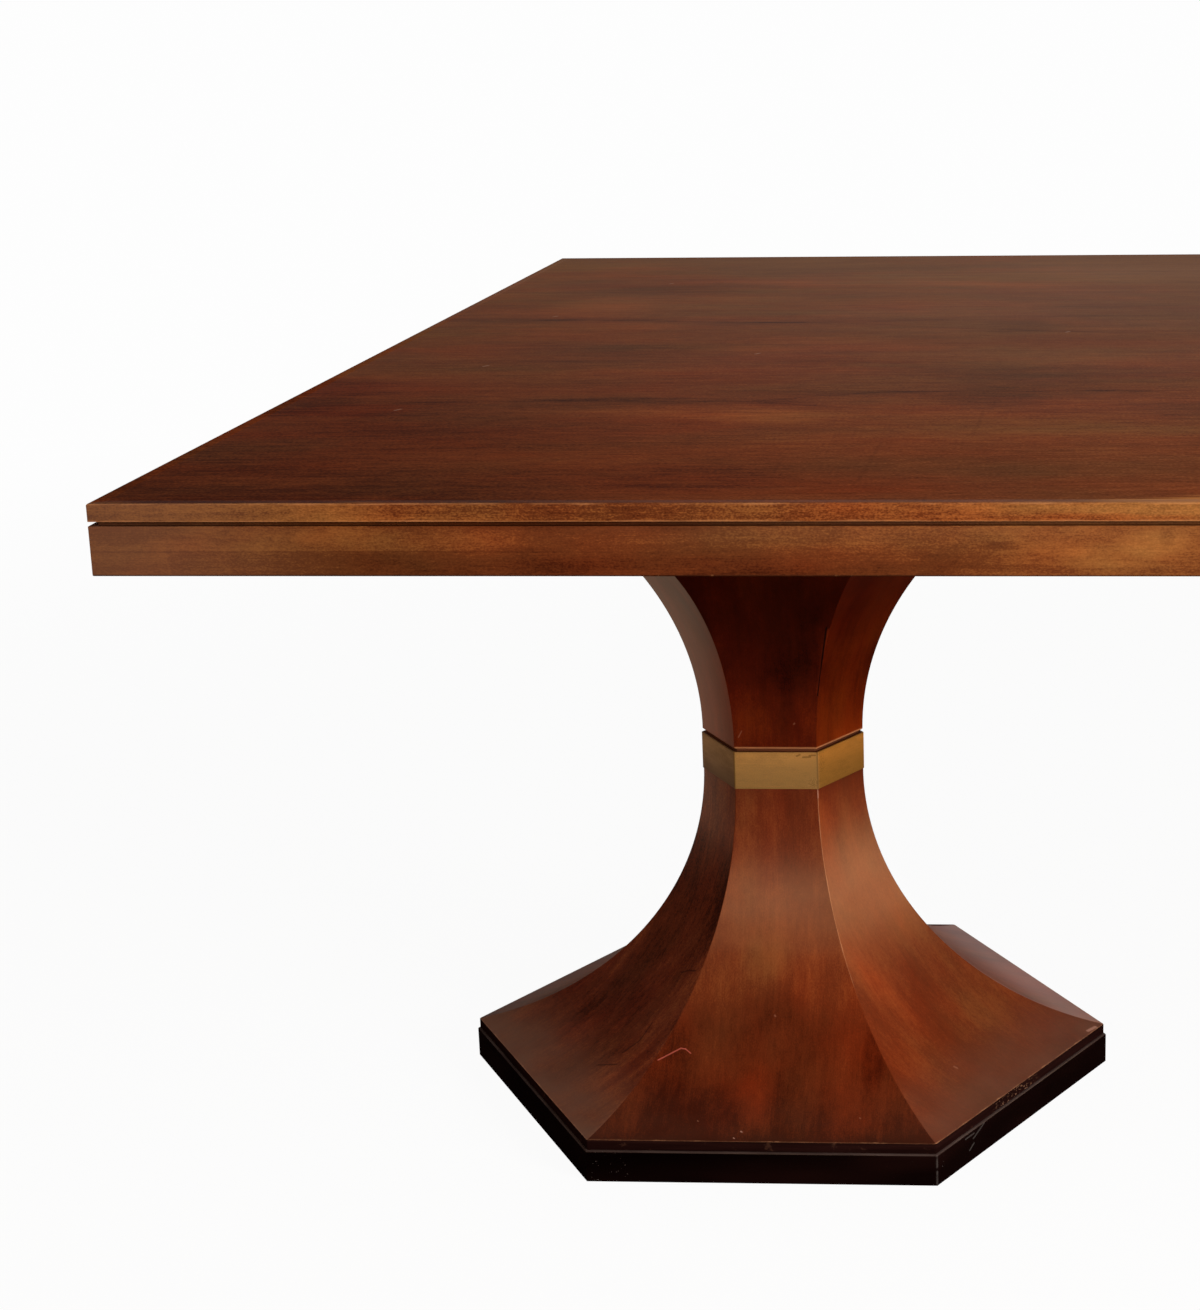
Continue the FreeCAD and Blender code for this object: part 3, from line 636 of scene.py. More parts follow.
EDGE_PATCHES = {
    "lipping_front": [
        ((-1.10, 0.743), (0.10, 0.010), 0.09, 0.0), ((-0.99, 0.744), (0.09, 0.008), 0.08, 0.0),
        ((-0.62, 0.741), (0.08, 0.007), -0.05, -0.1), ((-0.52, 0.746), (0.07, 0.007), 0.10, 0.1),
        ((-0.55, 0.740), (0.08, 0.004), -0.08, -0.2),
    ],
    "apron_front": [
        ((-0.97, 0.728), (0.13, 0.010), 0.09, 0.0), ((-0.90, 0.722), (0.16, 0.014), 0.04, 0.0),
        ((-0.84, 0.708), (0.14, 0.010), -0.08, -0.1), ((-0.72, 0.713), (0.10, 0.012), -0.04, -0.1),
        ((-0.61, 0.722), (0.016, 0.004), -0.14, 0.0), ((-0.515, 0.724), (0.030, 0.012), 0.14, 0.1),
        ((-0.545, 0.714), (0.040, 0.012), 0.11, 0.1), ((-0.575, 0.728), (0.030, 0.006), -0.08, 0.0),
        ((-0.63, 0.706), (0.22, 0.005), -0.08, 0.0), ((-0.506, 0.727), (0.006, 0.007), -0.14, 0.0),
    ],
}


# The bells of the pedestals


class Bell:
    """One waisted half of a pedestal: where its six hollow facets run, read from the frame."""

    def __init__(self, side, half):
        self.half = half
        box = [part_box(f"{side}_{half}_stave_{number}") for number in STAVES]
        self.low = min(low.z for low, _ in box)
        self.high = max(high.z for _, high in box)
        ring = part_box(f"{side}_collar")
        self.centre_x = (ring[0].x + ring[1].x) / 2
        self.neck = ring[1].y - COLLAR_PROUD
        self.foot = max(high.y for _, high in box)
        rise = self.high - self.low
        flare = self.foot - self.neck
        self.radius = (flare ** 2 + rise ** 2) / (2 * flare)
        self.neck_level = self.high if half == "lower" else self.low
        self.away = -1.0 if half == "lower" else 1.0
        self.length = self.radius * math.atan2(rise, self.radius - flare)


def facet_spots(finish, bell, number):
    """The place on a facet: out from the pedestal's middle, across the facet, and along it from the neck."""
    turn = HEXAGON_TURN * (number - 1) + FRONT
    inputs = {"Vector": finish.object_place(), "Location": (bell.centre_x, 0.0, 0.0)}
    inputs["Rotation"] = (0.0, 0.0, turn)
    out, across, level = finish.parts(finish.node("Mapping", {"vector_type": "TEXTURE"}, inputs))
    drop = (level - bell.neck_level) * bell.away
    sweep = finish.math("ARCTAN2", drop, bell.neck + bell.radius - out)
    return out, across, sweep * bell.radius


def stave_finish(name, look, bell, number, seed, habit):
    """The lacquered veneer of one stave, with its grain up the facet and its arrises rubbed."""
    finish = Finish(name)
    out, across, along = facet_spots(finish, bell, number)
    lower = bell.half == "lower"
    end = bell.length
    patchy, streaky, fine = habit.get("figure", (0.50, 0.45, 0.50))
    tone, hue, relief, pores = grain(finish, along, across, look, seed, patchy, streaky, fine)
    hue = hue + habit.get("hue", 0.0)
    plane = finish.join(across, along, seed)
    # The tone along the facet holds painted shade and light as well as the timber's tone, set stave by stave
    tone = tone + finish.trace(along, habit.get("tone", LOWER_TONE_AND_SHADE if lower else UPPER_TONE))
    tone, hue = add_patches(finish, tone, hue, across, along, habit.get("patches", ()))
    timber_colour(finish, tone, hue, look)
    cloud = finish.noise(plane, (0.05, 0.03), seed + 43.0, 2.0) * 1.2 + 1.0
    if lower:
        # Painted highlight: a pale band across the lower staves below the neck, stronger on the facets that
        # face the light
        painted_sheen = finish.trace(along, habit.get("painted_sheen", LOWER_SHEEN))
        finish.lay(finish.clamp(painted_sheen * cloud), look.painted_sheen)
        # Dust towards the foot together with a painted grey reflection, set stave by stave
        dust_and_sheen = finish.fade(along, 0.28, end) * habit.get("dust_and_sheen", 0.0)
        finish.lay(finish.clamp(dust_and_sheen * cloud), look.dust_and_sheen)
    else:
        # Painted shade: the upper bell is darkened all over, and more towards its top, where the table top
        # shades it; less on the left front facet
        finish.lay(1.0, (0.66, 0.35, 0.12), "MULTIPLY")
        painted_top_shade = finish.fade(along, 0.02, 0.20) * habit.get("painted_top_shade", 1.0)
        finish.lay(painted_top_shade, (0.38, 0.28, 0.26), "MULTIPLY")
    edge = out * HALF_FACET - abs(across)
    # Light lines along the ridges and the foot: rubbed-off stain and a painted highlight, stronger near the
    # neck and on the ridge side that faces the light
    rubbed = finish.noise(plane, (0.01, 0.045), seed + 53.0, 3.0, 0.7)
    low_side, high_side = habit.get("ridges", (0.06, 0.06))
    side = finish.fade(across, -0.004, 0.004, low_side, high_side)
    side = side * finish.fade(along, 0.26, 0.14, 0.25, 1.0)
    wear = finish.fade(edge - (rubbed + side * 0.9 - 0.45) * 0.0035, 0.0009, 0.0001) * side
    nicks = finish.noise((across, 0.0, seed), (0.022, 1.0), seed + 55.0, 4.0, 0.75)
    foot = finish.fade(end - along - nicks * 0.004, 0.0013, 0.0003)
    foot = foot * (finish.fade(nicks, 0.0, 0.16) * 0.5 + 0.5) * habit.get("foot", 0.34)
    finish.lay(finish.clamp(wear + foot), look.arris)
    # A light line on the upper neck's chamfer: rubbed arris and a painted reflection of the floor, left out
    # on the left front facet
    neck = finish.fade(along, 0.0026, 0.0014) * (0.0 if lower else habit.get("neck", 0.40))
    finish.lay(neck, look.neck)
    for kind, points, width in habit.get("marks", ()):
        strength = finish.stroke(across, along, points, width)
        finish.lay(strength * MARK_STRENGTHS[kind], MARK_COLOURS[kind])
    smear = finish.noise(plane, (0.12, 0.18), seed + 59.0, 3.0, 0.6)
    shine = finish.trace(along, habit.get("gloss", LOWER_GLOSS if lower else UPPER_GLOSS))
    gloss = look.polish * shine + smear * 0.20
    return finish.surface(0.55 + smear * 0.15 + pores * 0.1, relief, 0.03 * MM, gloss, 0.30)


# Scratches and cracks by kind
MARK_COLOURS = {
    "pale": (0.50, 0.26, 0.19),
    "scrape": (0.44, 0.095, 0.065),
    "faint": (0.40, 0.17, 0.10),
    "dark": (0.012, 0.003, 0.002),
    "crack": (0.004, 0.001, 0.001),
    "ember": (0.30, 0.035, 0.006),
}
MARK_STRENGTHS = {"pale": 0.50, "scrape": 0.70, "faint": 0.30, "dark": 0.6, "crack": 0.95, "ember": 0.35}

# Along a stave from its neck, in metres: how its tone changes, with painted shade towards the lower bell's
# foot, how strong the painted sheen is, and its gloss
LOWER_TONE_AND_SHADE = [
    (0.0, 0.0), (0.05, 0.01), (0.11, 0.08), (0.17, 0.04), (0.22, -0.06), (0.30, -0.03), (0.37, -0.12),
]
UPPER_TONE = [(0.0, 0.02), (0.10, 0.0), (0.21, 0.0)]
LOWER_SHEEN = [(0.0, 0.0), (0.05, 0.01), (0.09, 0.11), (0.13, 0.19), (0.17, 0.05), (0.22, 0.0), (0.37, 0.0)]
LOWER_GLOSS = [(0.0, 1.0), (0.37, 1.0)]
UPPER_GLOSS = [(0.0, 0.75), (0.21, 0.75)]

# How each stave differs from its neighbours, in metres. Their tone traces hold painted light and shade as
# well as the timber's own tone, lighter or darker from facet to facet as the light falls
STAVE_HABITS = {
    "left_lower_stave_1": {
        "figure": (0.38, 0.34, 0.60),
        "hue": -0.04,
        "dust_and_sheen": 0.10,
        "tone": [
            (0.0, 0.01), (0.05, 0.05), (0.08, 0.06), (0.12, 0.055), (0.15, 0.06), (0.18, 0.085),
            (0.22, -0.02), (0.26, -0.135), (0.30, -0.13), (0.335, -0.16), (0.37, -0.29)],
        "ridges": (0.06, 0.30),
        "patches": [
            ((0.000, 0.215), (0.032, 0.036), -0.10, 0.0), ((0.052, 0.190), (0.030, 0.030), -0.05, 0.0),
            ((-0.040, 0.325), (0.032, 0.036), -0.05, 0.0), ((-0.095, 0.330), (0.030, 0.045), -0.06, 0.0),
            ((0.078, 0.290), (0.018, 0.062), 0.07, 0.0), ((-0.010, 0.320), (0.026, 0.046), 0.04, -0.1),
            ((-0.008, 0.165), (0.034, 0.030), 0.05, 0.1), ((-0.028, 0.065), (0.014, 0.080), 0.06, 0.1),
            ((0.100, 0.270), (0.016, 0.050), -0.08, -0.2), ((-0.055, 0.265), (0.030, 0.050), 0.04, 0.0),
        ],
        "marks": [
            ("scrape", [(-0.1074, 0.2749), (-0.0866, 0.2618), (-0.0820, 0.2625)], 0.0010),
            ("scrape", [(-0.0820, 0.2625), (-0.0766, 0.2672)], 0.0008),
            ("faint", [(0.0020, 0.2260), (0.0026, 0.2270)], 0.0012),
            ("pale", [(-0.0199, 0.3592), (-0.0189, 0.3602)], 0.0011),
            ("pale", [(-0.0260, 0.3680), (-0.0252, 0.3688)], 0.0010),
            ("faint", [(-0.0620, 0.3460), (-0.0614, 0.3468)], 0.0010),
            ("faint", [(0.0900, 0.3400), (0.0906, 0.3408)], 0.0010),
            ("faint", [(-0.0919, 0.1321), (-0.0914, 0.1335)], 0.0012),
        ],
    },
    "left_lower_stave_2": {
        "figure": (0.32, 0.24, 0.50),
        "hue": 0.03,
        "ridges": (0.60, 0.12),
        "painted_sheen": [
            (0.0, 0.0), (0.04, 0.02), (0.08, 0.16), (0.12, 0.27), (0.16, 0.14), (0.22, 0.02), (0.37, 0.0)],
        "tone": [
            (0.0, -0.12), (0.05, 0.14), (0.075, 0.165), (0.11, 0.145), (0.17, 0.10), (0.22, 0.01),
            (0.30, 0.0), (0.37, -0.11)],
        "dust_and_sheen": 0.45,
        "foot": 0.5,
        "patches": [
            ((0.000, 0.020), (0.100, 0.040), 0.00, -0.15),
            ((-0.050, 0.225), (0.028, 0.066), 0.09, -0.1), ((0.030, 0.215), (0.032, 0.048), -0.07, -0.1),
            ((0.060, 0.285), (0.044, 0.034), 0.05, 0.1), ((-0.090, 0.290), (0.030, 0.060), 0.03, -0.1),
        ],
        "marks": [
            ("faint", [(-0.0450, 0.3170), (-0.0440, 0.3200)], 0.0016),
            ("pale", [(-0.0402, 0.0005), (-0.0400, 0.0090)], 0.0014),
            ("pale", [(0.1360, 0.3690), (0.1500, 0.3705)], 0.0024),
        ],
    },
    "left_lower_stave_3": {
        "tone": [(0.0, 0.0), (0.20, 0.04), (0.28, 0.16), (0.37, 0.20)],
        "gloss": [(0.0, 2.0), (0.37, 2.0)],
    },
    "left_lower_stave_6": {
        "figure": (0.46, 0.50, 1.25),
        "hue": 0.02,
        "painted_sheen": [(0.0, 0.0), (0.37, 0.0)],
        "gloss": [(0.0, 1.10), (0.05, 1.0), (0.10, 0.60), (0.18, 0.62), (0.24, 0.95), (0.37, 1.10)],
        "tone": [
            (0.0, 0.08), (0.05, -0.02), (0.085, -0.14), (0.12, -0.14), (0.15, -0.09), (0.18, -0.05),
            (0.22, -0.04), (0.26, -0.08), (0.30, -0.05), (0.335, 0.04), (0.37, 0.06)],
        "dust_and_sheen": 0.75,
        "marks": [
            ("dark", [(0.0415, 0.1955), (0.0520, 0.1890), (0.0634, 0.1849)], 0.0013),
            ("dark", [(0.0611, 0.2906), (0.0654, 0.2718), (0.0586, 0.2509)], 0.0016),
            ("dark", [(0.0511, 0.3167), (0.0716, 0.3032)], 0.0012),
        ],
    },
    "left_upper_stave_1": {
        "figure": (0.62, 0.42, 0.65),
        "tone": [
            (0.0, 0.08), (0.05, 0.0), (0.075, -0.12), (0.12, -0.16), (0.15, -0.11), (0.18, -0.01),
            (0.21, 0.05)],
        "neck": 0.70,
        "patches": [
            ((0.034, 0.050), (0.018, 0.045), 0.12, 0.0), ((-0.020, 0.025), (0.030, 0.024), 0.06, 0.0),
            ((0.060, 0.075), (0.014, 0.060), 0.12, 0.0), ((0.064, 0.125), (0.022, 0.050), 0.22, 0.0),
            ((-0.035, 0.060), (0.022, 0.040), 0.06, 0.0), ((0.046, 0.118), (0.016, 0.030), 0.18, 0.0),
        ],
        "marks": [
            ("ember", [(0.0585, 0.1300), (0.0540, 0.1076), (0.0495, 0.0787), (0.0460, 0.0600)], 0.0060),
            ("crack", [(0.0550, 0.1352), (0.0506, 0.1076), (0.0464, 0.0787), (0.0432, 0.0566)], 0.0013),
            ("faint", [(-0.0360, 0.0120), (-0.0326, 0.0186)], 0.0008),
            ("faint", [(0.0187, 0.0259), (0.0194, 0.0267)], 0.0012),
        ],
    },
    "left_upper_stave_2": {
        "figure": (0.60, 0.45, 0.60),
        "tone": [
            (0.0, 0.25), (0.05, 0.04), (0.075, -0.02), (0.10, 0.09), (0.12, 0.14), (0.15, 0.22),
            (0.18, 0.33), (0.21, 0.32)],
        "neck": 0.70,
        "gloss": [(0.0, 0.45), (0.10, 0.50), (0.21, 1.0)],
        "patches": [
            ((-0.085, 0.150), (0.035, 0.055), -0.12, 0.0), ((-0.010, 0.120), (0.020, 0.060), -0.08, 0.0),
        ],
    },
    "left_upper_stave_6": {
        "tone": [(0.0, 0.28), (0.06, 0.28), (0.12, 0.21), (0.18, 0.14), (0.21, 0.12)],
        "painted_top_shade": 0.30,
        "gloss": [(0.0, 1.45), (0.06, 1.35), (0.10, 1.22), (0.14, 1.06), (0.18, 0.98), (0.21, 0.95)],
        "neck": 0.0,
    },
}


def clear_selection():
    """Leaves nothing selected, out of edit mode."""
    if bpy.context.object and bpy.context.object.mode != "OBJECT":
        bpy.ops.object.mode_set(mode="OBJECT")
    bpy.ops.object.select_all(action="DESELECT")


def stand_for(piece, node):
    """Puts a finished piece in the place of a node of the frame."""
    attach(piece, "root")
    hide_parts(node)


def bell_rings(bell):
    """Heights and apothems of a bell from its neck to its foot."""
    end = bell.length / bell.radius
    rings = []
    for step in range(BELL_STEPS + 1):
        sweep = end * step / BELL_STEPS
        level = bell.neck_level + bell.away * bell.radius * math.sin(sweep)
        rings.append((level, bell.neck + bell.radius * (1 - math.cos(sweep))))
    if bell.half == "upper":
        rings[0] = (bell.neck_level, bell.neck - NECK_CHAMFER)
        rings.insert(1, (bell.neck_level + NECK_CHAMFER, bell.neck + NECK_LIFT))
    return rings


def model_stave(bell, thickness, ridge_radius):
    """Models the front stave of a bell about the world's Z axis, with half-round ridges."""
    clear_selection()
    corner = bell.neck / math.cos(HEXAGON_TURN / 2)
    bpy.ops.mesh.primitive_circle_add(
        vertices=len(STAVES), radius=corner, fill_type="NGON", location=(0.0, 0.0, 0.0),
        rotation=(0.0, 0.0, HEXAGON_TURN / 2))
    stave = bpy.context.object
    bpy.ops.object.transform_apply(location=True, rotation=True, scale=True)
    bpy.ops.object.mode_set(mode="EDIT")
    bpy.ops.mesh.select_all(action="SELECT")
    bpy.ops.mesh.bevel(
        offset=ridge_radius * HALF_FACET, offset_type="OFFSET", segments=RIDGE_SEGMENTS, affect="VERTICES")
    cuts = [((0.0, 0.0, 0.0), (math.cos(turn), math.sin(turn), 0.0)) for turn in MITRE_TURNS]
    cuts.append(((0.0, thickness - bell.neck, 0.0), (0.0, 1.0, 0.0)))
    for spot, normal in cuts:
        bpy.ops.mesh.select_all(action="SELECT")
        bpy.ops.mesh.bisect(plane_co=spot, plane_no=normal, clear_outer=True)
    rings = bell_rings(bell)
    first = rings[0][1] / bell.neck
    bpy.ops.mesh.select_all(action="SELECT")
    bpy.ops.transform.resize(value=(first, first, 1.0), center_override=(0.0, 0.0, 0.0))
    bpy.ops.transform.translate(value=(0.0, 0.0, rings[0][0]))
    for (level, width), (next_level, next_width) in zip(rings, rings[1:]):
        growth = next_width / width
        bpy.ops.mesh.extrude_region_move(TRANSFORM_OT_translate={"value": (0.0, 0.0, next_level - level)})
        bpy.ops.transform.resize(value=(growth, growth, 1.0), center_override=(0.0, 0.0, 0.0))
    bpy.ops.mesh.select_all(action="SELECT")
    bpy.ops.mesh.normals_make_consistent(inside=False)
    bpy.ops.object.mode_set(mode="OBJECT")
    bpy.ops.object.shade_smooth_by_angle(angle=SMOOTH_ANGLE)
    return stave


def soften(node, slot):
    """Stands a copy of a node in for it, with its sharp edges rounded off."""
    clear_selection()
    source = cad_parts[node]
    piece = bpy.data.objects.new(f"{node}_finished", source.data.copy())
    bpy.context.scene.collection.objects.link(piece)
    piece.select_set(True)
    bpy.context.view_layer.objects.active = piece
    bpy.ops.object.mode_set(mode="EDIT")
    bpy.ops.mesh.select_all(action="SELECT")
    bpy.ops.mesh.remove_doubles(threshold=MERGE_DISTANCE)
    bpy.ops.mesh.dissolve_limited(angle_limit=FLAT_ANGLE)
    bpy.ops.object.mode_set(mode="OBJECT")
    bevel = piece.modifiers.new("rounding", "BEVEL")
    bevel.width = ROUNDINGS[slot] * MM
    bevel.segments = ROUNDING_SEGMENTS
    bevel.limit_method = "ANGLE"
    bevel.angle_limit = SHARP_ANGLE
    bpy.ops.object.modifier_apply(modifier=bevel.name)
    bpy.ops.object.shade_smooth_by_angle(angle=SMOOTH_ANGLE)
    stand_for(piece, node)
    return piece


def paint(piece, material):
    """Gives a new piece its finish."""
    piece.data.materials.clear()
    piece.data.materials.append(material)


# Plinth, dark edges, brass, steel and plain timber


# Flaws in the lacquer of the left plinth, in metres: where chips cluster and how far, and scratches
PLINTH_NICKS = [
    ((-0.983, -0.2835, 0.014), 0.026), ((-0.671, -0.274, 0.017), 0.010), ((-0.655, -0.246, 0.031), 0.004),
]
PLINTH_SCRATCHES = [
    [(-0.6440, 0.0215), (-0.6347, 0.0290)], [(-0.6510, 0.0262), (-0.6440, 0.0262)],
    [(-0.6475, 0.0120), (-0.6440, 0.0160)],
]


def plinth_finish(name, look):
    """Black gloss lacquer with a maroon cast, chipped in places, with a painted highlight along its upper
    arris.
    """
    low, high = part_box("left_plinth")
    finish = Finish(name)
    spot = finish.object_place()
    x, y, z = finish.parts(spot)
    cast = finish.noise(spot, (0.20, 0.20, 0.05), 2.0, 2.0)
    finish.shade = finish.blend(finish.fade(cast, -0.1, 0.2), look.lacquer, Vector(look.lacquer) * 2.6)
    streak = finish.noise(spot, (0.05, 0.05, 0.004), 3.0, 3.0)
    # Painted highlight along the rounded upper arris
    ledge_highlight = finish.fade(z, high.z - 0.0017, high.z - 0.0007)
    finish.lay(finish.clamp(ledge_highlight * (streak + 0.55)), look.arris_highlight)
    corner = finish.join((low.x + high.x) / 2 + high.y * HALF_FACET, low.y, z)
    line = finish.fade(finish.gap(spot, corner), 0.0016, 0.0006) * finish.fade(streak, -0.25, 0.1)
    finish.lay(line * 0.08, look.scuff)
    patch = finish.fade(finish.noise(spot, (0.06, 0.06, 0.05), 5.0, 1.0), 0.16, 0.30) * 0.5
    for place, reach in PLINTH_NICKS:
        patch = finish.most(patch, finish.fade(finish.gap(spot, place), reach, 0.4 * reach))
    for points in PLINTH_SCRATCHES:
        scratch = finish.stroke(x, z, points, 0.0012) * finish.math("LESS_THAN", y, 0.0)
        finish.lay(scratch * 0.07, look.scuff)
    chips = finish.fade(finish.noise(spot, (0.0032, 0.0032, 0.0022), 7.0, 2.0, 0.7), 0.19, 0.26)
    scuffs = finish.fade(finish.noise(spot, (0.02, 0.02, 0.0012), 9.0, 2.0, 0.7), 0.21, 0.27)
    flaws = finish.clamp(chips * patch * 0.55 + scuffs * patch * 0.20)
    finish.lay(flaws, look.scuff)
    wave = finish.noise(spot, (0.03, 0.03, 0.03), 11.0, 1.0)
    rough = 0.30 + patch * 0.12 + flaws * 0.3
    return finish.surface(rough, wave - flaws * 1.5, 0.06 * MM, 0.14 - flaws * 0.2, 0.24)


# Where the base board's edge has been knocked, in metres
KNOCKED_SPOT = (-0.602, -0.158, 0.037)
KNOCKED_REACH = 0.050


def ebony_finish(name, stain):
    """Dark stained timber whose arris is rubbed light in places."""
    finish = Finish(name)
    spot = finish.object_place()
    streak = finish.noise(spot, (0.10, 0.10, 0.004), 3.0, 3.0)
    finish.shade = finish.blend(finish.fade(streak, -0.2, 0.3), stain, Vector(stain) * 2.0)
    rubbed = finish.fade(finish.noise(spot, (0.012, 0.012, 0.012), 6.0, 3.0, 0.7), 0.12, 0.22)
    finish.lay(rubbed * 0.15, (0.16, 0.07, 0.04))
    flecks = finish.fade(finish.noise(spot, (0.0035, 0.0035, 0.0018), 14.0, 2.0, 0.7), 0.08, 0.16)
    knocked = finish.fade(finish.gap(spot, KNOCKED_SPOT), KNOCKED_REACH, 0.4 * KNOCKED_REACH)
    finish.lay(flecks * knocked * 0.6, (0.30, 0.15, 0.085))
    return finish.surface(0.45 + streak * 0.3, streak, 0.04 * MM, 0.06)


# Dark marks on the collar's front face, and stains near its front corner, in metres sideways and up
COLLAR_MARKS = [
    [(0.0205, 0.0335), (0.0235, 0.0350)], [(0.0265, 0.0322), (0.0335, 0.0326)],
    [(0.0330, 0.0340), (0.0385, 0.0344)],
]
COLLAR_STAINS = [((0.0370, 0.0070), (0.0070, 0.0060)), ((0.0445, 0.0265), (0.0040, 0.0130))]


def brass_finish(name, look, collar):
    """Dull brass with a brown film that is thicker in spots, with painted light on its right face and
    painted shade on its left face.
    """
    low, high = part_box(collar)
    finish = Finish(name)
    spot = finish.object_place()
    x, y, z = finish.parts(spot)
    side, up = x - (low.x + high.x) / 2, z - low.z
    corner = high.y * HALF_FACET
    film = finish.noise(spot, (0.05, 0.05, 0.02), 4.0, 4.0, 0.65)
    brushed = finish.noise(spot, (0.09, 0.09, 0.0007), 8.0, 2.0)
    rim = finish.fade(finish.least(z - low.z, high.z - z) + film * 0.006, 0.0035, 0.0)
    spots = finish.fade(finish.noise(spot, (0.0045, 0.0045, 0.0035), 12.0, 3.0, 0.7), 0.20, 0.30)
    speckle = finish.noise(spot, (0.0014, 0.0014, 0.0012), 21.0, 2.0)
    cover = finish.fade(film, -0.15, 0.30) * 0.42 + rim * 0.15
    cover = cover + spots * 0.25 + brushed * 0.25 + speckle * 0.5
    for place, reach in COLLAR_STAINS:
        cover = cover + finish.blot(side, up, place, reach) * finish.fade(speckle + film, -0.2, 0.2) * 0.5
    cover = finish.clamp(cover)
    finish.shade = finish.blend(cover, look.brass, look.tarnish)
    front = finish.fade(y, low.y + 0.0010, low.y + 0.0006)
    for points in COLLAR_MARKS:
        smudge = finish.stroke(side + film * 0.004, up + film * 0.004, points, 0.0013)
        finish.lay(smudge * front * 0.55, look.tarnish)
    # Painted light and shade: the right face is made more orange, and the left face darker, most towards its
    # foot
    finish.lay(finish.fade(side, corner, corner + 0.002), (0.74, 0.62, 0.36), "MULTIPLY")
    shaded = finish.fade(side, -corner, -corner - 0.001) * finish.fade(up, 0.035, 0.0, 0.42, 0.72)
    finish.lay(shaded, (0.135, 0.066, 0.046))
    # Painted shade: a darker film along the front corners dims the highlight that their rounding catches
    arris = finish.fade(abs(abs(side) - corner), 0.0011, 0.0004) * finish.fade(y, 0.0, -0.01)
    finish.lay(arris * 0.45, look.tarnish)
    rough = 0.48 + cover * 0.25 + brushed * 0.1
    return finish.surface(rough, brushed - spots, 0.03 * MM, metal=0.72 - cover * 0.40, specular=0.2)


def steel_finish(name, look):
    """Zinc-plated steel."""
    finish = Finish(name)
    spot = finish.object_place()
    crystal = finish.noise(spot, (0.004, 0.004, 0.004), 5.0, 3.0)
    finish.shade = finish.blend(finish.fade(crystal, -0.2, 0.3), look.steel, Vector(look.steel) * 0.7)
    return finish.surface(0.38 + crystal * 0.3, crystal, 0.02 * MM, metal=1.0, specular=0.5)


def plain_finish(name, look, grain_axis, seed, darken=1.0):
    """Unlacquered timber with its grain along X, Y or Z."""
    finish = Finish(name)
    x, y, z = finish.parts(finish.object_place())
    along, across = {"X": (x, y + z), "Y": (y, x + z), "Z": (z, x + y)}[grain_axis]
    tone, hue, relief, pores = grain(finish, along, across, look, seed, 0.4, 1.0, 0.6)
    timber_colour(finish, tone, hue, look)
    if darken < 1.0:
        finish.lay(1.0, grey(darken), "MULTIPLY")
    return finish.surface(0.72 + pores * 0.1, relief, 0.06 * MM, specular=0.3)


# Operators, one for each group of like pieces


class TABLE_OT_top(bpy.types.Operator):
    """Veneers the three leaves of the top"""

    bl_idname = "table.top"
    bl_label = "Top veneer"

    def execute(self, context):
        look = context.scene.table_top_look
        low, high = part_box("veneer_leaf_middle")
        veneer = top_finish(TOP_VENEER, look, (low.y, high.y))
        for part in ("front", "middle", "back"):
            dress(f"veneer_leaf_{part}", veneer)
        return {"FINISHED"}


class TABLE_OT_edges(bpy.types.Operator):
    """Finishes the lippings round the top and the aprons under them"""

    bl_idname = "table.edges"
    bl_label = "Edges"

    def execute(self, context):
        look = context.scene.table_edge_look
        for number, part in enumerate(("front", "back", "left", "right")):
            along_x = part in ("front", "back")
            lipping, apron = f"lipping_{part}", f"apron_{part}"
            strip = soften(lipping, "lipping")
            paint(strip, edge_finish(look, lipping, 1.3 + 2.1 * number, along_x))
            strip.data.materials.append(bpy.data.materials[TOP_VENEER])
            for face in strip.data.polygons:
                face.material_index = 1 if face.normal.z > LEVEL else 0
            low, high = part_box(apron)
            glue_line = low.z + GLUE_LINE_SHARE * (high.z - low.z)
            groove = high.z - look.groove
            band = soften(apron, "apron")
            paint(band, edge_finish(look, apron, 9.4 + 2.3 * number, along_x, groove, glue_line))
        return {"FINISHED"}


class TABLE_OT_staves(bpy.types.Operator):
    """Models the staves of both pedestals and veneers them"""

    bl_idname = "table.staves"
    bl_label = "Staves"

    def execute(self, context):
        look = context.scene.table_stave_look
        for half in ("lower", "upper"):
            front = model_stave(Bell("left", half), look.thickness, look.ridge)
            for side in SIDES:
                for number in STAVES:
                    self.place_stave(context, look, front, side, half, number)
            bpy.data.objects.remove(front)
        return {"FINISHED"}

    def place_stave(self, context, look, front, side, half, number):
        """Turns a copy of the front stave to its facet and veneers it."""
        node = f"{side}_{half}_stave_{number}"
        bell = Bell(side, half)
        stave = bpy.data.objects.new(f"{node}_finished", front.data.copy())
        context.scene.collection.objects.link(stave)
        turn = Matrix.Rotation(HEXAGON_TURN * (number - 1), 4, "Z")
        stave.data.transform(Matrix.Translation((bell.centre_x, 0.0, 0.0)) @ turn)
        seed = 1.0 + 2.9 * number + SEEDS[half] + SEEDS[side]
        paint(stave, stave_finish(node, look, bell, number, seed, STAVE_HABITS.get(node, {})))
        stand_for(stave, node)


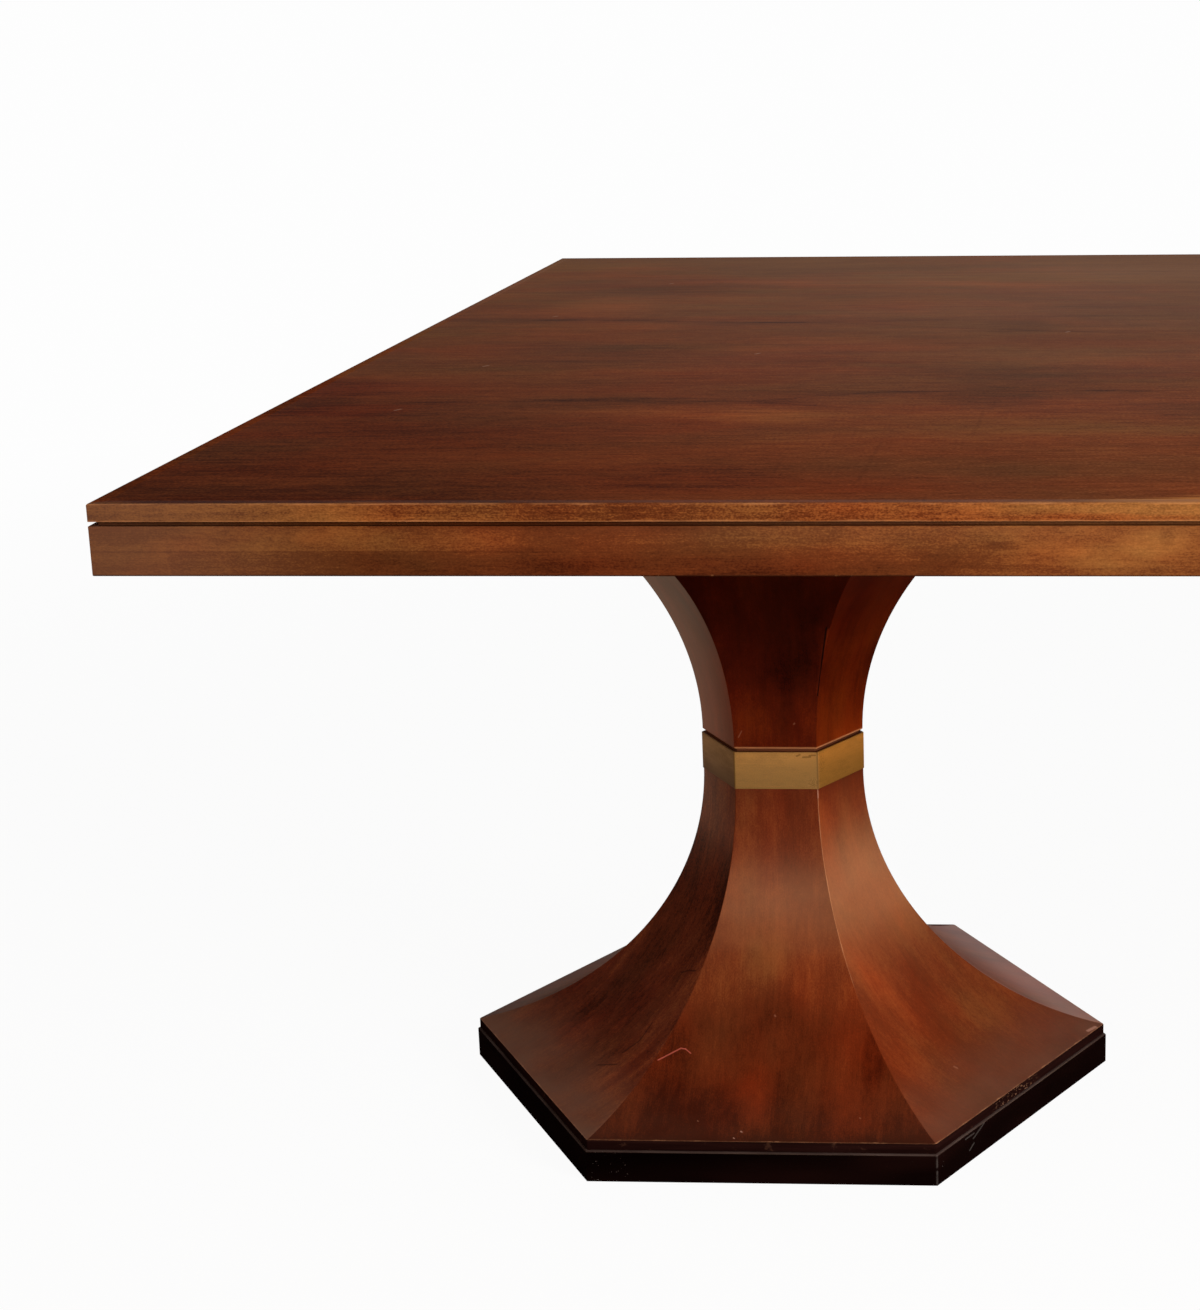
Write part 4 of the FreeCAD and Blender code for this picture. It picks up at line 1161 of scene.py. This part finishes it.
class TABLE_OT_trim(bpy.types.Operator):
    """Finishes the plinths, the dark edges and the brass collars"""

    bl_idname = "table.trim"
    bl_label = "Plinths and collars"

    def execute(self, context):
        look = context.scene.table_trim_look
        plinth = plinth_finish("plinth_lacquer", look)
        ebony = ebony_finish("dark_edge", look.ebony)
        ring = ebony_finish("dark_ring", look.ring)
        for side in SIDES:
            paint(soften(f"{side}_plinth", "plinth"), plinth)
            paint(soften(f"{side}_base_board", "dark_edge"), ebony)
            dress(f"{side}_collar_spacer", ring)
            collar = soften(f"{side}_collar", "brass")
            paint(collar, brass_finish(f"{side}_brass", look, f"{side}_collar"))
        return {"FINISHED"}


class TABLE_OT_underside(bpy.types.Operator):
    """Finishes the timber and the fixings under the top"""

    bl_idname = "table.underside"
    bl_label = "Underside"

    def execute(self, context):
        look = context.scene.table_underside_look
        steel = steel_finish("zinc_steel", context.scene.table_trim_look)
        dress("top_core", plain_finish("core_board", look, "X", 3.0))
        dress("backing_veneer", plain_finish("backing_veneer", look, "X", 5.0, 0.6))
        for number in range(1, 5):
            dress(f"batten_{number}", plain_finish(f"batten_{number}", look, "Y", 7.0 + number))
        for part in ("front", "back"):
            dress(f"bearer_{part}", plain_finish(f"bearer_{part}", look, "X", 13.0 + len(part)))
        for side in SIDES:
            dress(f"{side}_head_board", plain_finish(f"{side}_head_board", look, "X", 21.0 + len(side)))
            dress(f"{side}_post", plain_finish(f"{side}_post", look, "Z", 27.0 + len(side)))
            dress(f"{side}_tie_rod", steel)
        for node in ("bearer_screws", "tie_rod_washers", "tie_rod_nuts"):
            dress(node, steel)
        return {"FINISHED"}


def add_soft_box(look, name):
    """Adds a soft box that the camera doesn't see. The lacquer mirrors only the two weaker, warm ones."""
    weaker = name != "key"
    lamp = bpy.data.lights.new(f"{name}_light", "AREA")
    lamp.energy = getattr(look, f"{name}_power")
    lamp.size = getattr(look, f"{name}_size")
    lamp.color = look.warmth if weaker else grey(1.0)
    box = bpy.data.objects.new(f"{name}_light", lamp)
    box.visible_camera = False
    box.visible_glossy = weaker
    box.location = getattr(look, f"{name}_place")
    box.rotation_euler = (box.location - Vector(LAMP_AIM)).to_track_quat("Z", "Y").to_euler()
    bpy.context.scene.collection.objects.link(box)


class TABLE_OT_stage(bpy.types.Operator):
    """Lays the pale floor and sets up the backdrop, the lights and the camera"""

    bl_idname = "table.stage"
    bl_label = "Studio"

    def execute(self, context):
        look = context.scene.table_studio_look
        self.lay_floor(look)
        self.paint_world(context, look)
        for name in ("key", "front", "rim"):
            add_soft_box(look, name)
        self.set_camera(context, look)
        context.scene.view_settings.view_transform = "Standard"
        return {"FINISHED"}

    def lay_floor(self, look):
        """A wide floor that shows the backdrop's white but keeps some of the table's shadow."""
        clear_selection()
        bpy.ops.mesh.primitive_circle_add(
            vertices=96, radius=FLOOR_RADIUS, fill_type="NGON", location=(0.0, 0.0, 0.0))
        floor = bpy.context.object
        floor.name = "floor"
        finish = Finish("pale_floor")
        x, y, _ = finish.parts(finish.object_place())
        direct, mirrored = finish.seen(), finish.ray("Glossy")
        dim = finish.blend(mirrored, grey(look.bounce), grey(0.03))
        lit = finish.node("BsdfDiffuse", {}, {"Color": finish.blend(direct, dim, grey(look.floor))})
        # Behind the table the floor glows warm for reflections only: a painted reflection in the lacquer
        glow = finish.node("Emission", {}, {"Color": finish.blend(direct, look.mirrored_glow, grey(look.white))})
        far = finish.fade(finish.hypotenuse(x * 0.75, y), 1.6, 4.5, look.glow, 1.0)
        behind = finish.fade(y, 0.45, 0.75) * finish.fade(x, -0.80, -1.40, 0.04, 0.95)
        behind = behind * finish.fade(x, -3.6, -2.2)
        factor = finish.clamp(direct * far + mirrored * behind)
        mixed = finish.node("MixShader", {}, {0: factor, 1: lit, 2: glow})
        finish.node("OutputMaterial", {}, {"Surface": mixed})
        floor.data.materials.append(finish.material)
        floor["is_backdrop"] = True

    def paint_world(self, context, look):
        """A white backdrop, and a room of soft light that the lacquer mirrors dimly."""
        world = bpy.data.worlds.new("studio")
        world.use_nodes = True
        context.scene.world = world
        finish = Finish("studio", world.node_tree)
        x, y, z = finish.parts(finish.node("TexCoord", {}, {}, "Generated"))
        front = finish.fade(y, 0.15, -0.75)
        high = finish.fade(z, 0.40, 0.75)
        raised = finish.fade(z, 0.09, 0.20)
        direct, mirrored = finish.seen(), finish.ray("Glossy")
        soft = (1.0 - front * 0.65) * (1.0 - high * 0.35) * look.ambient
        side = finish.fade(abs(x), 0.30, 0.60)
        dim_left = finish.fade(x, 0.05, -0.30, 1.0, 0.45) * finish.fade(x, -0.35, -0.60, 1.0, 0.07)
        mirror = (1.0 - front * 0.95) * (1.0 - raised * 0.80) * dim_left * look.white
        strength = direct * look.white + (1.0 - direct) * (mirrored * mirror + (1.0 - mirrored) * soft)
        tint = finish.blend(side * mirrored * (1.0 - direct), grey(1.0), look.walls)
        light = finish.node("Background", {}, {"Color": tint, "Strength": strength})
        finish.node("OutputWorld", {}, {"Surface": light})

    def set_camera(self, context, look):
        """The camera of the photograph."""
        camera = bpy.data.cameras.new("camera")
        camera.sensor_fit = "AUTO"
        camera.sensor_width = 36.0
        camera.lens = look.lens
        camera.shift_x = look.shift
        viewer = bpy.data.objects.new("camera", camera)
        turn = Matrix.Rotation(look.pan, 4, "Z")
        turn = turn @ Matrix.Rotation(math.pi / 2 - look.tilt, 4, "X") @ Matrix.Rotation(look.roll, 4, "Z")
        viewer.matrix_world = Matrix.Translation(look.camera_place) @ turn
        context.scene.collection.objects.link(viewer)
        context.scene.camera = viewer


class TABLE_PT_panel(bpy.types.Panel):
    """Lists the steps that finish the table"""

    bl_idname = "TABLE_PT_panel"
    bl_label = "Pedestal table"
    bl_space_type = "VIEW_3D"
    bl_region_type = "UI"
    bl_category = "Table"

    def draw(self, context):
        for operator in OPERATORS:
            self.layout.operator(operator.bl_idname)
        for name in LOOKS:
            box = self.layout.box()
            group = getattr(context.scene, name)
            for key in group.bl_rna.properties.keys():
                if key not in ("rna_type", "name"):
                    box.prop(group, key)


OPERATORS = (
    TABLE_OT_top, TABLE_OT_edges, TABLE_OT_staves, TABLE_OT_trim, TABLE_OT_underside, TABLE_OT_stage,
)
LOOKS = {
    "table_top_look": TopLook,
    "table_edge_look": EdgeLook,
    "table_stave_look": StaveLook,
    "table_trim_look": TrimLook,
    "table_underside_look": UndersideLook,
    "table_studio_look": StudioLook,
}


def register():
    """Registers the settings, the operators and the panel."""
    for name, group in LOOKS.items():
        bpy.utils.register_class(group)
        setattr(bpy.types.Scene, name, bpy.props.PointerProperty(type=group))
    for kind in (*OPERATORS, TABLE_PT_panel):
        bpy.utils.register_class(kind)


def unregister():
    """Takes out what register put in."""
    for kind in (TABLE_PT_panel, *reversed(OPERATORS)):
        bpy.utils.unregister_class(kind)
    for name, group in reversed(LOOKS.items()):
        delattr(bpy.types.Scene, name)
        bpy.utils.unregister_class(group)


def main():
    """Runs every step in order."""
    register()
    bpy.ops.table.top()
    bpy.ops.table.edges()
    bpy.ops.table.staves()
    bpy.ops.table.trim()
    bpy.ops.table.underside()
    bpy.ops.table.stage()


if __name__ == "__main__":
    main()
